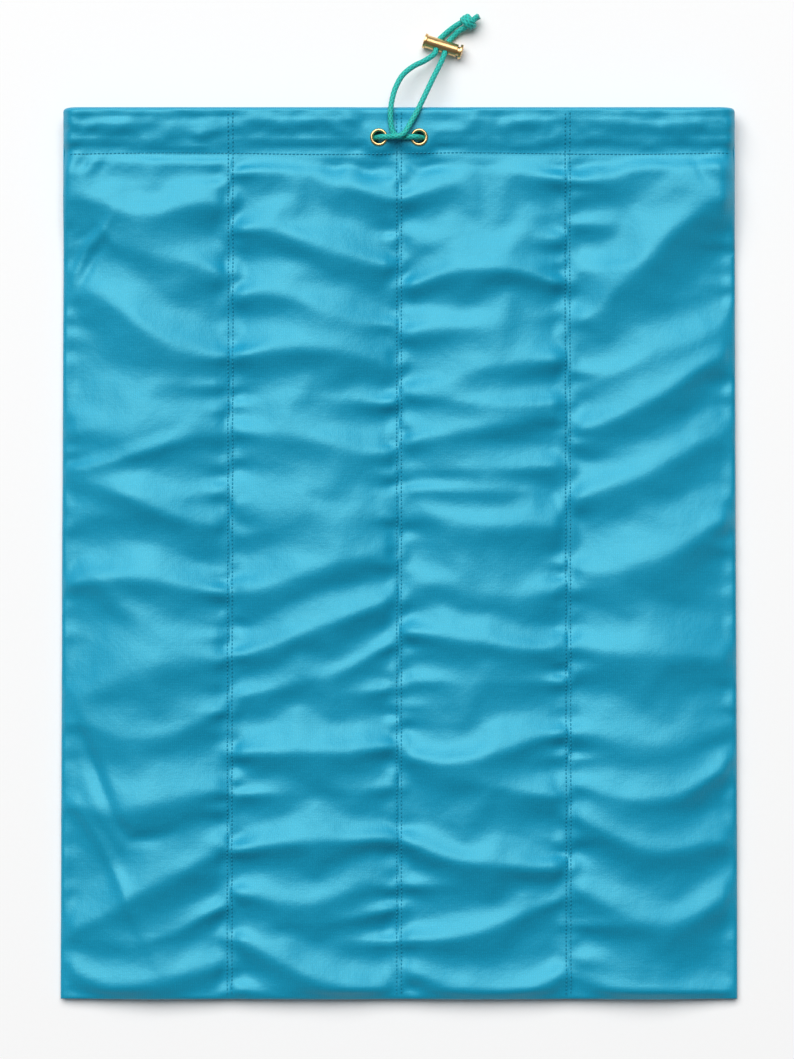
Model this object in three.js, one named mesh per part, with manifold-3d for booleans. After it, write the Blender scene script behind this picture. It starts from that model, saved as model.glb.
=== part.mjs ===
// Satin drawstring pouch: four panels a side, a folded cord casing round the mouth, two brass eyelets,
// a round elastic drawcord, a brass barrel cord lock with a sprung plunger, and a knot in the cord's ends.
// Millimetres. The pouch lies on its back: +X across it, +Y from the bottom seam to the mouth, +Z up.
// The origin is on the floor under the middle of the pouch.
import * as THREE from "three";
import { mergeVertices } from "three/addons/utils/BufferGeometryUtils.js";
import Module from "manifold-3d";

const wasm = await Module();
wasm.setup();

// Pouch body
const POUCH_WIDTH = 305; // across the side seams at the bottom
const POUCH_LENGTH = 401; // bottom seam to mouth edge
const MOUTH_NARROWING = 3.5; // how much less it measures across at the mouth
const PANELS = 4; // panels across each side
const CLOTH = 0.4; // satin thickness
const SEAM_GAP = 0.3; // clearance between two sewn edges
const SIDE_SEAM_HEIGHT = 2; // side and bottom seams above the floor
const PANEL_SEAM_HEIGHT = 10; // front panel seams above the floor
const PANEL_CROWN = 3.5; // how far a front panel puffs up between its seams
const FRONT_SHOULDER = 45; // width over which the front falls to the side seam
const BACK_SHOULDER = 8; // width over which the back rises to the side seam
const BOTTOM_RISE = 40; // length over which the front rises from the bottom seam
const BACK_BOTTOM_RISE = 8; // length over which the back drops from the bottom seam

// Main folds across the front panels, from the bottom up. Each crest has its height up the pouch at the panel's
// left seam, middle and right seam, in percent of the pouch's length, then how far it stands proud.
const FRONT_FOLDS = [
  [
    [4.5, 4.5, 8.5, 1.7], [13.5, 11, 15.5, 2.3], [22.5, 20.5, 23, 2.2], [31.5, 28.5, 31, 2.2],
    [41, 38.5, 37.5, 2.6], [49, 47, 45, 1.6], [53, 53.5, 52, 1.8], [68, 61.5, 63, 2.1],
    [79.5, 74.5, 71, 2.9], [85, 84, 81, 2], [89, 89, 89, 1.2],
  ],
  [
    [7.5, 4, 3.5, 2.6], [12.5, 10.5, 10.5, 1.8], [16.5, 17.5, 18, 2.6], [28.5, 25.5, 28, 2.9],
    [33.5, 35, 36, 2.1], [45.5, 48, 49.5, 2], [55.5, 57, 60.5, 2.3], [63.5, 63.5, 66.5, 1.7],
    [73, 72, 71, 1.7], [85.5, 83.5, 80.5, 2.3], [92, 90.5, 89, 1.6],
  ],
  [
    [7, 8, 10.5, 2.3], [17.5, 15, 15, 2.6], [26.5, 28, 29.5, 2.3], [33, 33.5, 35.5, 1.4],
    [41, 39, 39.5, 2.1], [46.5, 46, 46, 2], [52, 52.5, 54, 2.3], [63, 63.5, 63.5, 1.8],
    [74, 75, 72, 2], [80, 81.5, 80, 2.3], [89.5, 91, 91.5, 1.4],
  ],
  [
    [12, 8, 13.5, 2.3], [20.5, 16.5, 19.5, 2.5], [25.5, 22.5, 28.5, 2.2], [31, 33, 38, 2],
    [39, 39.5, 45.5, 2], [47, 48, 53.5, 2.3], [56, 59.5, 64.5, 2], [62.5, 65.5, 71.5, 2],
    [69, 70.5, 78, 2.1], [79, 83, 89.5, 2.5], [91.5, 91, 93, 1.4],
  ],
];
const FOLD_VALLEY = 0.35; // depth of a valley against the two crests beside it together
const FOLD_HOLD = 20; // distance from a seam over which the folds die out

// Cord casing at the mouth
const CASING_DEPTH = 21; // mouth edge to stitch line
const HEM_TURN = 5; // turned cloth past the stitch line
const TUNNEL_CLOSE = 4; // length over which the tunnel closes to the stitch line
const MOUTH_GAPE = 5.4; // clear gap between the front and back hems
const CASING_BLEND = 46; // length over which the casing's section turns into the body's

// Drawcord
const CORD_DIAMETER = 2.5;
const CORD_ROOM = 0.25; // clearance round the cord in its tunnel
const CORD_BEND = 4; // bend radius of the cord through an eyelet
const CORD_GAP = 0.3; // gap between two lengths of the cord
const CORD_SIDES = 8;

// Eyelets and their washers
const EYELET_SPACING = 18; // between the two eyelet centres
const EYELET_DROP = 14; // mouth edge to eyelet centres
const EYELET_ROOM = 1.3; // room round the cord in the throat
const EYELET_WALL = 0.35;
const EYELET_FLANGE = 1.45; // flange width outside the throat
const EYELET_CROWN = 0.8; // flange height above the cloth
const EYELET_FOOT = 0.2; // thickness of the set foot
const FOOT_LIP = 0.45; // how far the set foot reaches over the washer
const WASHER_THICKNESS = 0.3;
const WASHER_WIDTH = 1;
const FIT = 0.1; // clearance between set metal pieces

// Barrel cord lock, measured along its barrel
const BARREL_DIAMETER = 5.8;
const BARREL_WALL = 0.7;
const FLANGE_LIP = 0.5; // how far the end flange and the button stand out past the barrel
const FLANGE_THICKNESS = 1.2;
const END_WALL = 1; // closed end of the barrel
const SPRING_SPACE = 3.05; // length left for the spring
const STEM_TIP = 0.95; // plunger past its last slot
const SLOT_WEB = 0.5; // web between the plunger's two slots
const GRIP = 0.2; // clearance between a slot's end and the cord
const HOLE_ROOM = 0.25; // clearance round the cord in a barrel hole
const PRESS_TRAVEL = 0.8; // how far the button presses in
const PRESS_SPARE = 0.2; // gap left under the button when it is pressed
const STEM_GUIDE = 2.8; // barrel past its last hole
const BUTTON_THICKNESS = 1.2;
const STEM_FIT = 0.15; // clearance between plunger and bore
const EDGE_BREAK = 0.25; // bevel on the lock's edges
const SPRING_WIRE = 0.4;
const SPRING_TURNS = 3;
const SPRING_FIT = 0.15; // clearance round the spring

// Where the lock and the knot lie on the floor
const LOCK_X = 19.4; // cord middle of the lock, right of the pouch middle
const LOCK_PAST_MOUTH = 28.2;
const LOCK_YAW = -17.3; // degrees, barrel direction from +X
const LOCK_TILT = -28; // degrees, holes slope down away from the pouch
const FLOOR_LIFT = 0.05;
const KNOT_X = 31.5;
const KNOT_PAST_MOUTH = 39.1;
const KNOT_YAW = 28; // degrees, direction of the knot's tails
const KNOT_RISE = 12; // degrees, slope of the knot up towards its tails
const KNOT_WRAP = 2.6; // radius of a wrap's centreline
const KNOT_PITCH = 2.3; // between the two wraps
const KNOT_LEAN = 12; // degrees, lean of each wrap
const KNOT_ENTRY = 3.2; // knot middle to where the strands enter
const KNOT_TAIL = 5.2; // knot middle to the end of the tails

// Facets
const ROUND_STEPS = 24;
const PANEL_STEPS = 6;
const SHOULDER_STEPS = 6;
const BOTTOM_ROWS = 3; // rows in the turn at the bottom seam
const BRIDGE_ROWS = 2; // rows between the last fold and the casing's blend
const HEM_STEPS = 6;
const STRAND_STEP = 2.6; // length of one facet along a free strand

// Derived sizes
const halfLength = POUCH_LENGTH / 2;
const halfWidth = POUCH_WIDTH / 2;
const pitch = POUCH_WIDTH / PANELS;
const cordRadius = CORD_DIAMETER / 2;
const eyeletTail = FIT + WASHER_THICKNESS + FIT + EYELET_FOOT;
const tunnel = eyeletTail + CORD_ROOM + CORD_DIAMETER + CORD_ROOM;
const hemThickness = CLOTH + tunnel + CLOTH;
const brim = hemThickness + MOUTH_GAPE + hemThickness;
const cordDepth = CLOTH + eyeletTail + CORD_ROOM + cordRadius;
const cordLine = halfLength - EYELET_DROP;
const hemEnd = halfLength - CASING_DEPTH - HEM_TURN;
const blendStart = hemEnd - CASING_BLEND;
const throatRadius = cordRadius + EYELET_ROOM;
const eyeletBarrel = throatRadius + EYELET_WALL;
const { lerp, smoothstep, degToRad: rad } = THREE.MathUtils;

const materials = {
  satin: { color: 0x2ca4c6, roughness: 0.45, metalness: 0 },
  cord: { color: 0x2cc4be, roughness: 0.8, metalness: 0 },
  brass: { color: 0xd9a24e, roughness: 0.25, metalness: 1 },
  spring_steel: { color: 0xb8bcc0, roughness: 0.35, metalness: 1 },
};

function piece(name, geometry, slot) {
  const mesh = new THREE.Mesh(geometry, new THREE.MeshStandardMaterial(materials[slot]));
  mesh.name = name;
  mesh.material.name = slot;
  return mesh;
}

function solidOf(geometry) {
  const plain = geometry.clone();
  plain.deleteAttribute("normal");
  plain.deleteAttribute("uv");
  const merged = mergeVertices(plain, 1e-4);
  const vertProperties = new Float32Array(merged.attributes.position.array);
  const triVerts = new Uint32Array(merged.index.array);
  return new wasm.Manifold(new wasm.Mesh({ numProp: 3, vertProperties, triVerts }));
}

function geometryOf(solid) {
  const mesh = solid.getMesh();
  const geometry = new THREE.BufferGeometry();
  geometry.setAttribute("position", new THREE.BufferAttribute(mesh.vertProperties, 3));
  geometry.setIndex(new THREE.BufferAttribute(mesh.triVerts, 1));
  return geometry;
}

function cut(geometry, tools) {
  let solid = solidOf(geometry);
  for (const tool of tools) {
    solid = solid.subtract(solidOf(tool));
  }
  return geometryOf(solid);
}

function join(geometries) {
  let solid = solidOf(geometries[0]);
  for (const geometry of geometries.slice(1)) {
    solid = solid.add(solidOf(geometry));
  }
  return geometryOf(solid);
}

// A turned piece along +X from a profile of [radius, place along the axis]
function turned(profile) {
  const points = profile.map(([radius, along]) => new THREE.Vector2(radius, along));
  return new THREE.LatheGeometry(points, ROUND_STEPS).rotateZ(-Math.PI / 2);
}

// A ring about +Z from a profile of [radius, height] that closes on itself
function ring(profile) {
  const closed = [...profile, profile[0]];
  const points = closed.map(([radius, height]) => new THREE.Vector2(radius, height));
  return new THREE.LatheGeometry(points, ROUND_STEPS).rotateX(Math.PI / 2);
}

// A curve that steps exactly from point to point
class Route extends THREE.Curve {
  constructor(points) {
    super();
    this.points = points;
  }

  nearest(t) {
    return Math.round(t * (this.points.length - 1));
  }

  getPoint(t) {
    return this.points[this.nearest(t)].clone();
  }

  getPointAt(u) {
    return this.getPoint(u);
  }

  getTangentAt(u) {
    const at = this.nearest(u);
    const here = this.points[at];
    const before = this.points[Math.max(at - 1, 0)];
    const after = this.points[Math.min(at + 1, this.points.length - 1)];
    const incoming = here.clone().sub(before).normalize();
    const outgoing = after.clone().sub(here).normalize();
    return incoming.add(outgoing).normalize();
  }
}

function roundSection(radius, sides) {
  const corners = [];
  for (let i = 0; i < sides; i += 1) {
    const angle = (2 * Math.PI * i) / sides;
    corners.push(new THREE.Vector2(radius * Math.cos(angle), radius * Math.sin(angle)));
  }
  return new THREE.Shape(corners);
}

function tubeAlong(points, radius, sides) {
  const extrudePath = new Route(points);
  return new THREE.ExtrudeGeometry(roundSection(radius, sides), { steps: points.length - 1, extrudePath });
}

// Section of the pouch along its length
function towardsMouth(y) {
  return smoothstep(y, blendStart, hemEnd);
}

function flare(y) {
  return 1 - ((MOUTH_NARROWING / POUCH_WIDTH) * (y + halfLength)) / POUCH_LENGTH;
}

// How far the cloth has come from the bottom seam to its full height
function riseFromBottom(bottom, depth, y) {
  const share = Math.min((y + halfLength - depth) / (bottom - depth), 1);
  return Math.sqrt(Math.max(1 - (1 - share) ** 2, 0));
}

// Lines across one front panel from the bottom up: the crests of its folds and the valleys midway between them
function foldLines(folds) {
  const lines = [];
  folds.forEach(([left, middle, right, height], k) => {
    lines.push({ places: [left, middle, right], height });
    if (k < folds.length - 1) {
      const next = folds[k + 1];
      const places = [(left + next[0]) / 2, (middle + next[1]) / 2, (right + next[2]) / 2];
      lines.push({ places, height: -FOLD_VALLEY * (height + next[3]) });
    }
  });
  return lines;
}

// Height up the pouch of one line, at a share across its panel
function lineAt({ places: [left, middle, right] }, share) {
  const percent = share < 0.5 ? lerp(left, middle, 2 * share) : lerp(middle, right, 2 * share - 1);
  return (percent / 100) * POUCH_LENGTH - halfLength;
}

// How far the folds lift the cloth of one front panel
function foldLift(lines, share, y) {
  const places = lines.map((line) => lineAt(line, share));
  const next = places.findIndex((place) => place >= y);
  const above = next < 0 ? lines.length - 1 : next;
  const below = Math.max(above - 1, 0);
  const height = lerp(lines[below].height, lines[above].height, smoothstep(y, places[below], places[above]));
  const toSeam = Math.min(share, 1 - share) * pitch;
  const held = smoothstep(toSeam, 0, FOLD_HOLD) * smoothstep(y + halfLength, 0, FOLD_HOLD);
  return height * held * smoothstep(hemEnd - y, 0, FOLD_HOLD);
}

// Rows of one front panel between its bottom turn and the casing's blend, one on each line that lies there
function foldRows(lines, share) {
  const rows = [];
  for (const line of lines) {
    const highest = (Math.max(...line.places) / 100) * POUCH_LENGTH - halfLength;
    if (highest < blendStart - SEAM_GAP) {
      rows.push(lineAt(line, share));
    }
  }
  const last = rows[rows.length - 1];
  for (let i = 1; i <= BRIDGE_ROWS; i += 1) {
    rows.push(lerp(last, blendStart, i / (BRIDGE_ROWS + 1)));
  }
  return rows;
}

// One point of the cloth. A station says how far across the pouch it is, depth how far inside the outer face.
function clothPoint(front, station, { depth, y }) {
  const mouth = towardsMouth(y);
  const half = brim / 2;
  const side = front ? 1 : -1;
  const shoulder = lerp(front ? FRONT_SHOULDER : BACK_SHOULDER, half, mouth);
  const seam = lerp(SIDE_SEAM_HEIGHT, half, mouth) + (side * SEAM_GAP) / 2;
  const outer = front ? lerp(PANEL_SEAM_HEIGHT, brim, mouth) : 0;
  const face = outer - side * depth;
  let x = station.x;
  if (station.turn !== undefined) {
    const turnStart = halfWidth - shoulder;
    const straight = lerp(station.from, turnStart, station.flat);
    x = station.turn > 0 ? turnStart + (shoulder - depth) * Math.sin(station.turn) : straight;
    x *= station.sign;
  }
  const across = (Math.abs(x - station.seam) - SEAM_GAP / 2) / (station.span - depth * (station.turn ? 1 : 0));
  const puff = front ? PANEL_CROWN * (1 - mouth) * Math.sin(Math.PI * Math.min(across, 1)) : 0;
  const rise = riseFromBottom(front ? BOTTOM_RISE : BACK_BOTTOM_RISE, depth, y);
  const z = seam + ((face - seam) * Math.cos(station.turn ?? 0) + puff) * rise;
  return new THREE.Vector3(x * flare(y), y, z);
}

// Stations across one panel, from left to right
function panelStations(index, front) {
  const stations = [];
  const left = index * pitch - halfWidth;
  if (index > 0 && index < PANELS - 1) {
    const steps = front ? PANEL_STEPS : 2;
    const span = pitch - SEAM_GAP;
    for (let i = 0; i <= steps; i += 1) {
      stations.push({ x: left + SEAM_GAP / 2 + (span * i) / steps, seam: left, span, share: i / steps });
    }
    return stations;
  }
  const sign = index === 0 ? -1 : 1;
  const from = halfWidth - pitch + SEAM_GAP / 2;
  const outer = { seam: sign * (halfWidth - pitch), span: pitch - SEAM_GAP / 2, sign, from };
  const flats = front ? PANEL_STEPS / 2 : 1;
  const level = 1 - FRONT_SHOULDER / pitch;
  function add(flat, turn) {
    const outward = level * flat + (1 - level) * Math.sin(turn);
    stations.push({ ...outer, flat, turn, share: sign < 0 ? 1 - outward : outward });
  }
  for (let i = 0; i <= flats; i += 1) {
    add(i / flats, 0);
  }
  for (let i = 1; i <= SHOULDER_STEPS; i += 1) {
    add(1, (Math.PI / 2) * (i / SHOULDER_STEPS));
  }
  return sign < 0 ? stations.reverse() : stations;
}

// Section of one panel from the bottom seam to the mouth, round the fold and back along the hem
function panelSection(front, bodyRows) {
  const bottom = front ? BOTTOM_RISE : BACK_BOTTOM_RISE;
  const bottomTurn = rad(front ? 18 : 30);
  const blendSteps = front ? 6 : 4;
  const outside = [];
  const inside = [];
  function add(outerDepth, innerDepth, y) {
    outside.push({ depth: outerDepth, y });
    inside.push({ depth: innerDepth, y });
  }
  for (let i = 0; i < BOTTOM_ROWS; i += 1) {
    for (const [depth, layer] of [[0, outside], [CLOTH, inside]]) {
      layer.push({ depth, y: depth - halfLength + (bottom - depth) * (1 - Math.cos(bottomTurn * i)) });
    }
  }
  for (const y of bodyRows) {
    add(0, CLOTH, y);
  }
  for (let i = 0; i <= blendSteps; i += 1) {
    add(0, CLOTH, lerp(blendStart, hemEnd, i / blendSteps));
  }
  const fold = hemThickness / 2;
  for (let i = 0; i <= HEM_STEPS; i += 1) {
    const angle = Math.PI * (i / HEM_STEPS);
    for (const [radius, layer] of [[fold, outside], [fold - CLOTH, inside]]) {
      const depth = fold - radius * Math.cos(angle);
      layer.push({ depth, y: halfLength - fold + radius * Math.sin(angle) });
    }
  }
  const stitched = CLOTH + SEAM_GAP;
  add(hemThickness, hemThickness - CLOTH, halfLength - CASING_DEPTH + TUNNEL_CLOSE);
  add(stitched + CLOTH, stitched, halfLength - CASING_DEPTH);
  add(stitched + CLOTH, stitched, hemEnd);
  return [...outside, ...inside.reverse()];
}

// A closed solid from a section carried across a row of stations. Both faces of the cloth are split along the same
// diagonals, so that they stay apart where the folds warp them.
function panel(index, front) {
  const stations = panelStations(index, front);
  const lines = foldLines(FRONT_FOLDS[index]);
  const positions = [];
  let count = 0;
  for (const station of stations) {
    const bodyRows = front ? foldRows(lines, station.share) : [BACK_BOTTOM_RISE - halfLength];
    const section = panelSection(front, bodyRows);
    for (const place of section) {
      const point = clothPoint(front, station, place);
      point.z += front ? foldLift(lines, station.share, place.y) : 0;
      positions.push(...point.toArray());
    }
    count = section.length;
  }
  const triangles = [];
  for (let row = 0; row < stations.length - 1; row += 1) {
    for (let i = 0; i < count; i += 1) {
      const here = row * count + i;
      const next = row * count + ((i + 1) % count);
      if (i < count / 2) {
        triangles.push([here, next, here + count], [next, next + count, here + count]);
      } else {
        triangles.push([here, next, next + count], [here, next + count, here + count]);
      }
    }
  }
  const last = (stations.length - 1) * count;
  for (let i = 0; i < count / 2 - 1; i += 1) {
    const [outA, outB, inB, inA] = [i, i + 1, count - 2 - i, count - 1 - i];
    triangles.push([outB, outA, inA], [outB, inA, inB]);
    triangles.push([last + outA, last + outB, last + inA], [last + inA, last + outB, last + inB]);
  }
  const index3 = triangles.flatMap(([a, b, c]) => (front ? [a, c, b] : [a, b, c]));
  const geometry = new THREE.BufferGeometry();
  geometry.setAttribute("position", new THREE.Float32BufferAttribute(positions, 3));
  geometry.setIndex(index3);
  return geometry;
}

// Eyelet profile about its own axis, height 0 on the cloth's outer face
function eyelet() {
  const flangeRadius = throatRadius + EYELET_FLANGE;
  const middle = (flangeRadius + throatRadius) / 2;
  const profile = [];
  for (let i = 0; i <= 6; i += 1) {
    const angle = Math.PI * (i / 6);
    const radius = middle + (EYELET_FLANGE / 2) * Math.cos(angle);
    profile.push([radius, FIT + (EYELET_CROWN - FIT) * Math.sin(angle)]);
  }
  const footBottom = -CLOTH - eyeletTail;
  profile.push([throatRadius, -CLOTH]);
  profile.push([throatRadius + EYELET_WALL, footBottom]);
  profile.push([eyeletBarrel + FOOT_LIP, footBottom]);
  profile.push([eyeletBarrel + FOOT_LIP, footBottom + EYELET_FOOT]);
  profile.push([eyeletBarrel, footBottom + EYELET_FOOT]);
  profile.push([eyeletBarrel, FIT]);
  return ring(profile);
}

function washer() {
  const top = -CLOTH - FIT;
  const hole = eyeletBarrel + FIT;
  const rim = eyeletBarrel + WASHER_WIDTH;
  const low = top - WASHER_THICKNESS;
  return ring([[rim, low], [rim, top], [hole, top], [hole, low]]);
}

// The cord's bend through an eyelet: half 0 is the part inside the casing, half 1 the part above the cloth.
// Points run from the throat outward.
const bendLow = brim - cordDepth;
const bendHigh = brim + EYELET_CROWN + FIT + cordRadius;
const bendHeight = bendHigh - bendLow;
const bendReach = Math.sqrt(bendHeight * CORD_BEND - (bendHeight * bendHeight) / 4);
const bendAngle = Math.acos(1 - bendHeight / (2 * CORD_BEND));

function eyeletBend(sign, above) {
  const points = [];
  const steps = 4;
  const start = bendAngle - CORD_GAP / 2 / CORD_BEND;
  for (let i = 0; i <= steps; i += 1) {
    const angle = start * (1 - i / steps);
    const reach = bendReach - CORD_BEND * Math.sin(angle);
    const climb = CORD_BEND * (1 - Math.cos(angle));
    const x = EYELET_SPACING / 2 + (above ? -reach : reach);
    points.push(new THREE.Vector3(sign * x, cordLine, above ? bendHigh - climb : bendLow + climb));
  }
  return points;
}

// The cord's run inside the casing, from one eyelet round the mouth to the other
function casingRun() {
  const place = { depth: cordDepth, y: cordLine, rise: 1 };
  const turnSteps = 5;
  function side(sign) {
    const outer = { seam: sign * (halfWidth - pitch), span: pitch, sign, from: halfWidth - pitch };
    const start = EYELET_SPACING / 2 + bendReach;
    const points = eyeletBend(sign, false);
    const turnStart = halfWidth - brim / 2;
    for (let i = 1; i < 4; i += 1) {
      const x = sign * lerp(start, turnStart, i / 4);
      points.push(clothPoint(true, { x, seam: 0, span: pitch }, place));
    }
    for (let i = 0; i < turnSteps; i += 1) {
      const turn = (Math.PI / 2) * (i / turnSteps);
      points.push(clothPoint(true, { ...outer, flat: 1, turn }, place));
    }
    points.push(new THREE.Vector3(sign * (halfWidth - cordDepth) * flare(cordLine), cordLine, brim / 2));
    for (let i = turnSteps - 1; i >= 0; i -= 1) {
      const turn = (Math.PI / 2) * (i / turnSteps);
      points.push(clothPoint(false, { ...outer, flat: 1, turn }, place));
    }
    return points;
  }
  const back = clothPoint(false, { x: 0, seam: 0, span: pitch }, place);
  return tubeAlong([...side(-1), back, ...side(1).reverse()], cordRadius, CORD_SIDES);
}

// Lock sizes along its barrel, 0 midway between its two cord holes
const slotLength = CORD_DIAMETER + 2 * GRIP + PRESS_TRAVEL;
const holePitch = slotLength + SLOT_WEB;
const barrelRadius = BARREL_DIAMETER / 2;
const flangeRadius = barrelRadius + FLANGE_LIP;
const boreRadius = barrelRadius - BARREL_WALL;
const stemRadius = boreRadius - STEM_FIT;
const slotStart = -holePitch / 2 - cordRadius - GRIP;
const stemEnd = slotStart - STEM_TIP;
const boreEnd = stemEnd - SPRING_SPACE;
const barrelEnd = boreEnd - END_WALL;
const barrelMouth = slotStart + holePitch + slotLength + STEM_GUIDE;
const buttonFace = barrelMouth + PRESS_TRAVEL + PRESS_SPARE;
const buttonEnd = buttonFace + BUTTON_THICKNESS;
const holeWidth = CORD_DIAMETER + 2 * HOLE_ROOM;

function crossHole(x) {
  return new THREE.CylinderGeometry(holeWidth / 2, holeWidth / 2, 2 * flangeRadius, ROUND_STEPS).translate(x, 0, 0);
}

function crossSlot(start) {
  const radius = holeWidth / 2;
  const outline = new THREE.Shape();
  outline.absarc(slotLength - radius, 0, radius, -Math.PI / 2, Math.PI / 2, false);
  outline.absarc(radius, 0, radius, Math.PI / 2, (3 * Math.PI) / 2, false);
  const depth = 2 * flangeRadius;
  const options = { depth, bevelEnabled: false, curveSegments: ROUND_STEPS / 2 };
  const slot = new THREE.ExtrudeGeometry(outline, options);
  return slot.translate(start, 0, -depth / 2).rotateX(Math.PI / 2);
}

function lockSleeve() {
  const body = turned([
    [0, barrelEnd],
    [flangeRadius - EDGE_BREAK, barrelEnd],
    [flangeRadius, barrelEnd + EDGE_BREAK],
    [flangeRadius, barrelEnd + FLANGE_THICKNESS - EDGE_BREAK],
    [flangeRadius - EDGE_BREAK, barrelEnd + FLANGE_THICKNESS],
    [barrelRadius, barrelEnd + FLANGE_THICKNESS],
    [barrelRadius, barrelMouth - EDGE_BREAK],
    [barrelRadius - EDGE_BREAK, barrelMouth],
    [boreRadius, barrelMouth],
    [boreRadius, boreEnd],
    [0, boreEnd],
  ]);
  return cut(body, [crossHole(-holePitch / 2), crossHole(holePitch / 2)]);
}

function lockPlunger() {
  const body = turned([
    [0, stemEnd],
    [stemRadius - EDGE_BREAK, stemEnd],
    [stemRadius, stemEnd + EDGE_BREAK],
    [stemRadius, buttonFace],
    [flangeRadius - EDGE_BREAK, buttonFace],
    [flangeRadius, buttonFace + EDGE_BREAK],
    [flangeRadius, buttonEnd - EDGE_BREAK],
    [flangeRadius - EDGE_BREAK, buttonEnd],
    [0, buttonEnd],
  ]);
  return cut(body, [crossSlot(slotStart), crossSlot(slotStart + holePitch)]);
}

function lockSpring() {
  const wire = SPRING_WIRE / 2;
  const radius = boreRadius - SPRING_FIT - wire;
  const from = boreEnd + SPRING_FIT + wire;
  const to = stemEnd - SPRING_FIT - wire;
  const steps = 8 * SPRING_TURNS;
  const points = [];
  for (let i = 0; i <= steps; i += 1) {
    const angle = (2 * Math.PI * SPRING_TURNS * i) / steps;
    const x = lerp(from, to, i / steps);
    points.push(new THREE.Vector3(x, radius * Math.cos(angle), radius * Math.sin(angle)));
  }
  return tubeAlong(points, wire, 5);
}

// The lock's place on the floor
const lock = new THREE.Group();
lock.name = "cord_lock";
lock.position.set(LOCK_X, halfLength + LOCK_PAST_MOUTH, flangeRadius + FLOOR_LIFT);
lock.rotation.z = rad(LOCK_YAW);
const lockTilt = new THREE.Group();
lockTilt.rotation.x = rad(LOCK_TILT);
lock.add(lockTilt);
lock.updateMatrixWorld(true);

// The knot's place on the floor
const knotGroup = new THREE.Group();
knotGroup.name = "cord_end";
const knotHeight = KNOT_WRAP + cordRadius + FLOOR_LIFT + (KNOT_PITCH / 2) * Math.sin(rad(KNOT_RISE));
knotGroup.position.set(KNOT_X, halfLength + KNOT_PAST_MOUTH, knotHeight);
knotGroup.rotation.set(0, rad(-KNOT_RISE), rad(KNOT_YAW), "ZYX");
knotGroup.updateMatrixWorld(true);

function knot() {
  const bodies = [];
  const core = new THREE.SphereGeometry(1, 16, 10);
  bodies.push(core.scale(KNOT_PITCH, KNOT_WRAP, KNOT_WRAP));
  for (const sign of [-1, 1]) {
    const wrap = new THREE.TorusGeometry(KNOT_WRAP, cordRadius, CORD_SIDES, ROUND_STEPS);
    wrap.rotateY(Math.PI / 2).rotateZ(rad(KNOT_LEAN));
    bodies.push(wrap.translate((sign * KNOT_PITCH) / 2, 0, 0));
    const strand = new THREE.CylinderGeometry(cordRadius, cordRadius, KNOT_ENTRY, CORD_SIDES);
    bodies.push(strand.rotateZ(Math.PI / 2).translate(-KNOT_ENTRY / 2, sign * (cordRadius + CORD_GAP / 2), 0));
    const tail = new THREE.CylinderGeometry(cordRadius, cordRadius, KNOT_TAIL, CORD_SIDES);
    bodies.push(tail.rotateZ(Math.PI / 2).translate(KNOT_TAIL / 2, 0, sign * (cordRadius - CORD_GAP / 2)));
  }
  return join(bodies);
}

function lockPoint(x, y) {
  return lockTilt.localToWorld(new THREE.Vector3(x, y, 0));
}

function knotPoint(x, y) {
  return knotGroup.localToWorld(new THREE.Vector3(x, y, 0));
}

// Chosen points of the free strands: across, past the mouth edge, height. Those on the pouch are measured up from
// the casing's outer face, those beyond it from the floor. The right strand comes from the left eyelet and crosses
// over the left strand, which comes from the right one.
const onPouch = {
  left: [
    [3.4, -14, 1.65], [1.4, -14, 1.4], [-0.7, -13.7, 1.4], [-2.4, -12.3, 1.45],
    [-3.3, -9.9, 1.5], [-3.75, -6.6, 1.55], [-3.8, -2.7, 1.5],
  ],
  right: [
    [-3.4, -14, 3.1], [-1.6, -14, 3.95], [0.6, -13.7, 4.2], [2.4, -12.5, 4],
    [3.9, -10.2, 3.3], [5.3, -7.6, 2.45], [7.6, -3.6, 1.7],
  ],
};
const onFloor = {
  left: [[-3.1, 2.7, 14.9], [-1.4, 8.6, 13], [1.8, 14.4, 10.8], [6.7, 18.6, 8.8], [11.6, 21.2, 7.3]],
  right: [[9.9, 1.2, 15], [12.6, 7.1, 12.7], [15.4, 13.2, 10.3], [18, 18.6, 8]],
};
const pastLock = {
  left: [[20.1, 33.3, 1.6], [22.7, 35.5, 2]],
  right: [[23.6, 31.9, 1.6], [25.1, 33.3, 2]],
};

function place([x, past, z]) {
  return new THREE.Vector3(x, halfLength + past, z);
}

function smooth(points) {
  const curve = new THREE.CatmullRomCurve3(points, false, "centripetal");
  const steps = Math.round(curve.getLength() / STRAND_STEP);
  return curve.getSpacedPoints(steps);
}

function lowerStrand(name) {
  const hole = name === "left" ? -holePitch / 2 : holePitch / 2;
  const bend = eyeletBend(name === "left" ? 1 : -1, true);
  const points = [bend.pop()];
  for (const [x, past, up] of onPouch[name]) {
    points.push(place([x, past, brim + up]));
  }
  points.push(...onFloor[name].map(place));
  points.push(lockPoint(hole, -5), lockPoint(hole, -barrelRadius), lockPoint(hole, -CORD_GAP / 2));
  return tubeAlong([...bend, ...smooth(points)], cordRadius, CORD_SIDES);
}

function upperStrand(name) {
  const hole = name === "left" ? -holePitch / 2 : holePitch / 2;
  const entry = name === "left" ? cordRadius + CORD_GAP / 2 : -cordRadius - CORD_GAP / 2;
  const points = [lockPoint(hole, CORD_GAP / 2), lockPoint(hole, barrelRadius)];
  points.push(...pastLock[name].map(place));
  points.push(knotPoint(-KNOT_ENTRY - CORD_DIAMETER, entry), knotPoint(-KNOT_ENTRY - CORD_GAP, entry));
  return tubeAlong(smooth(points), cordRadius, CORD_SIDES);
}

const pouch = new THREE.Group();
pouch.name = "drawstring_pouch";

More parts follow.
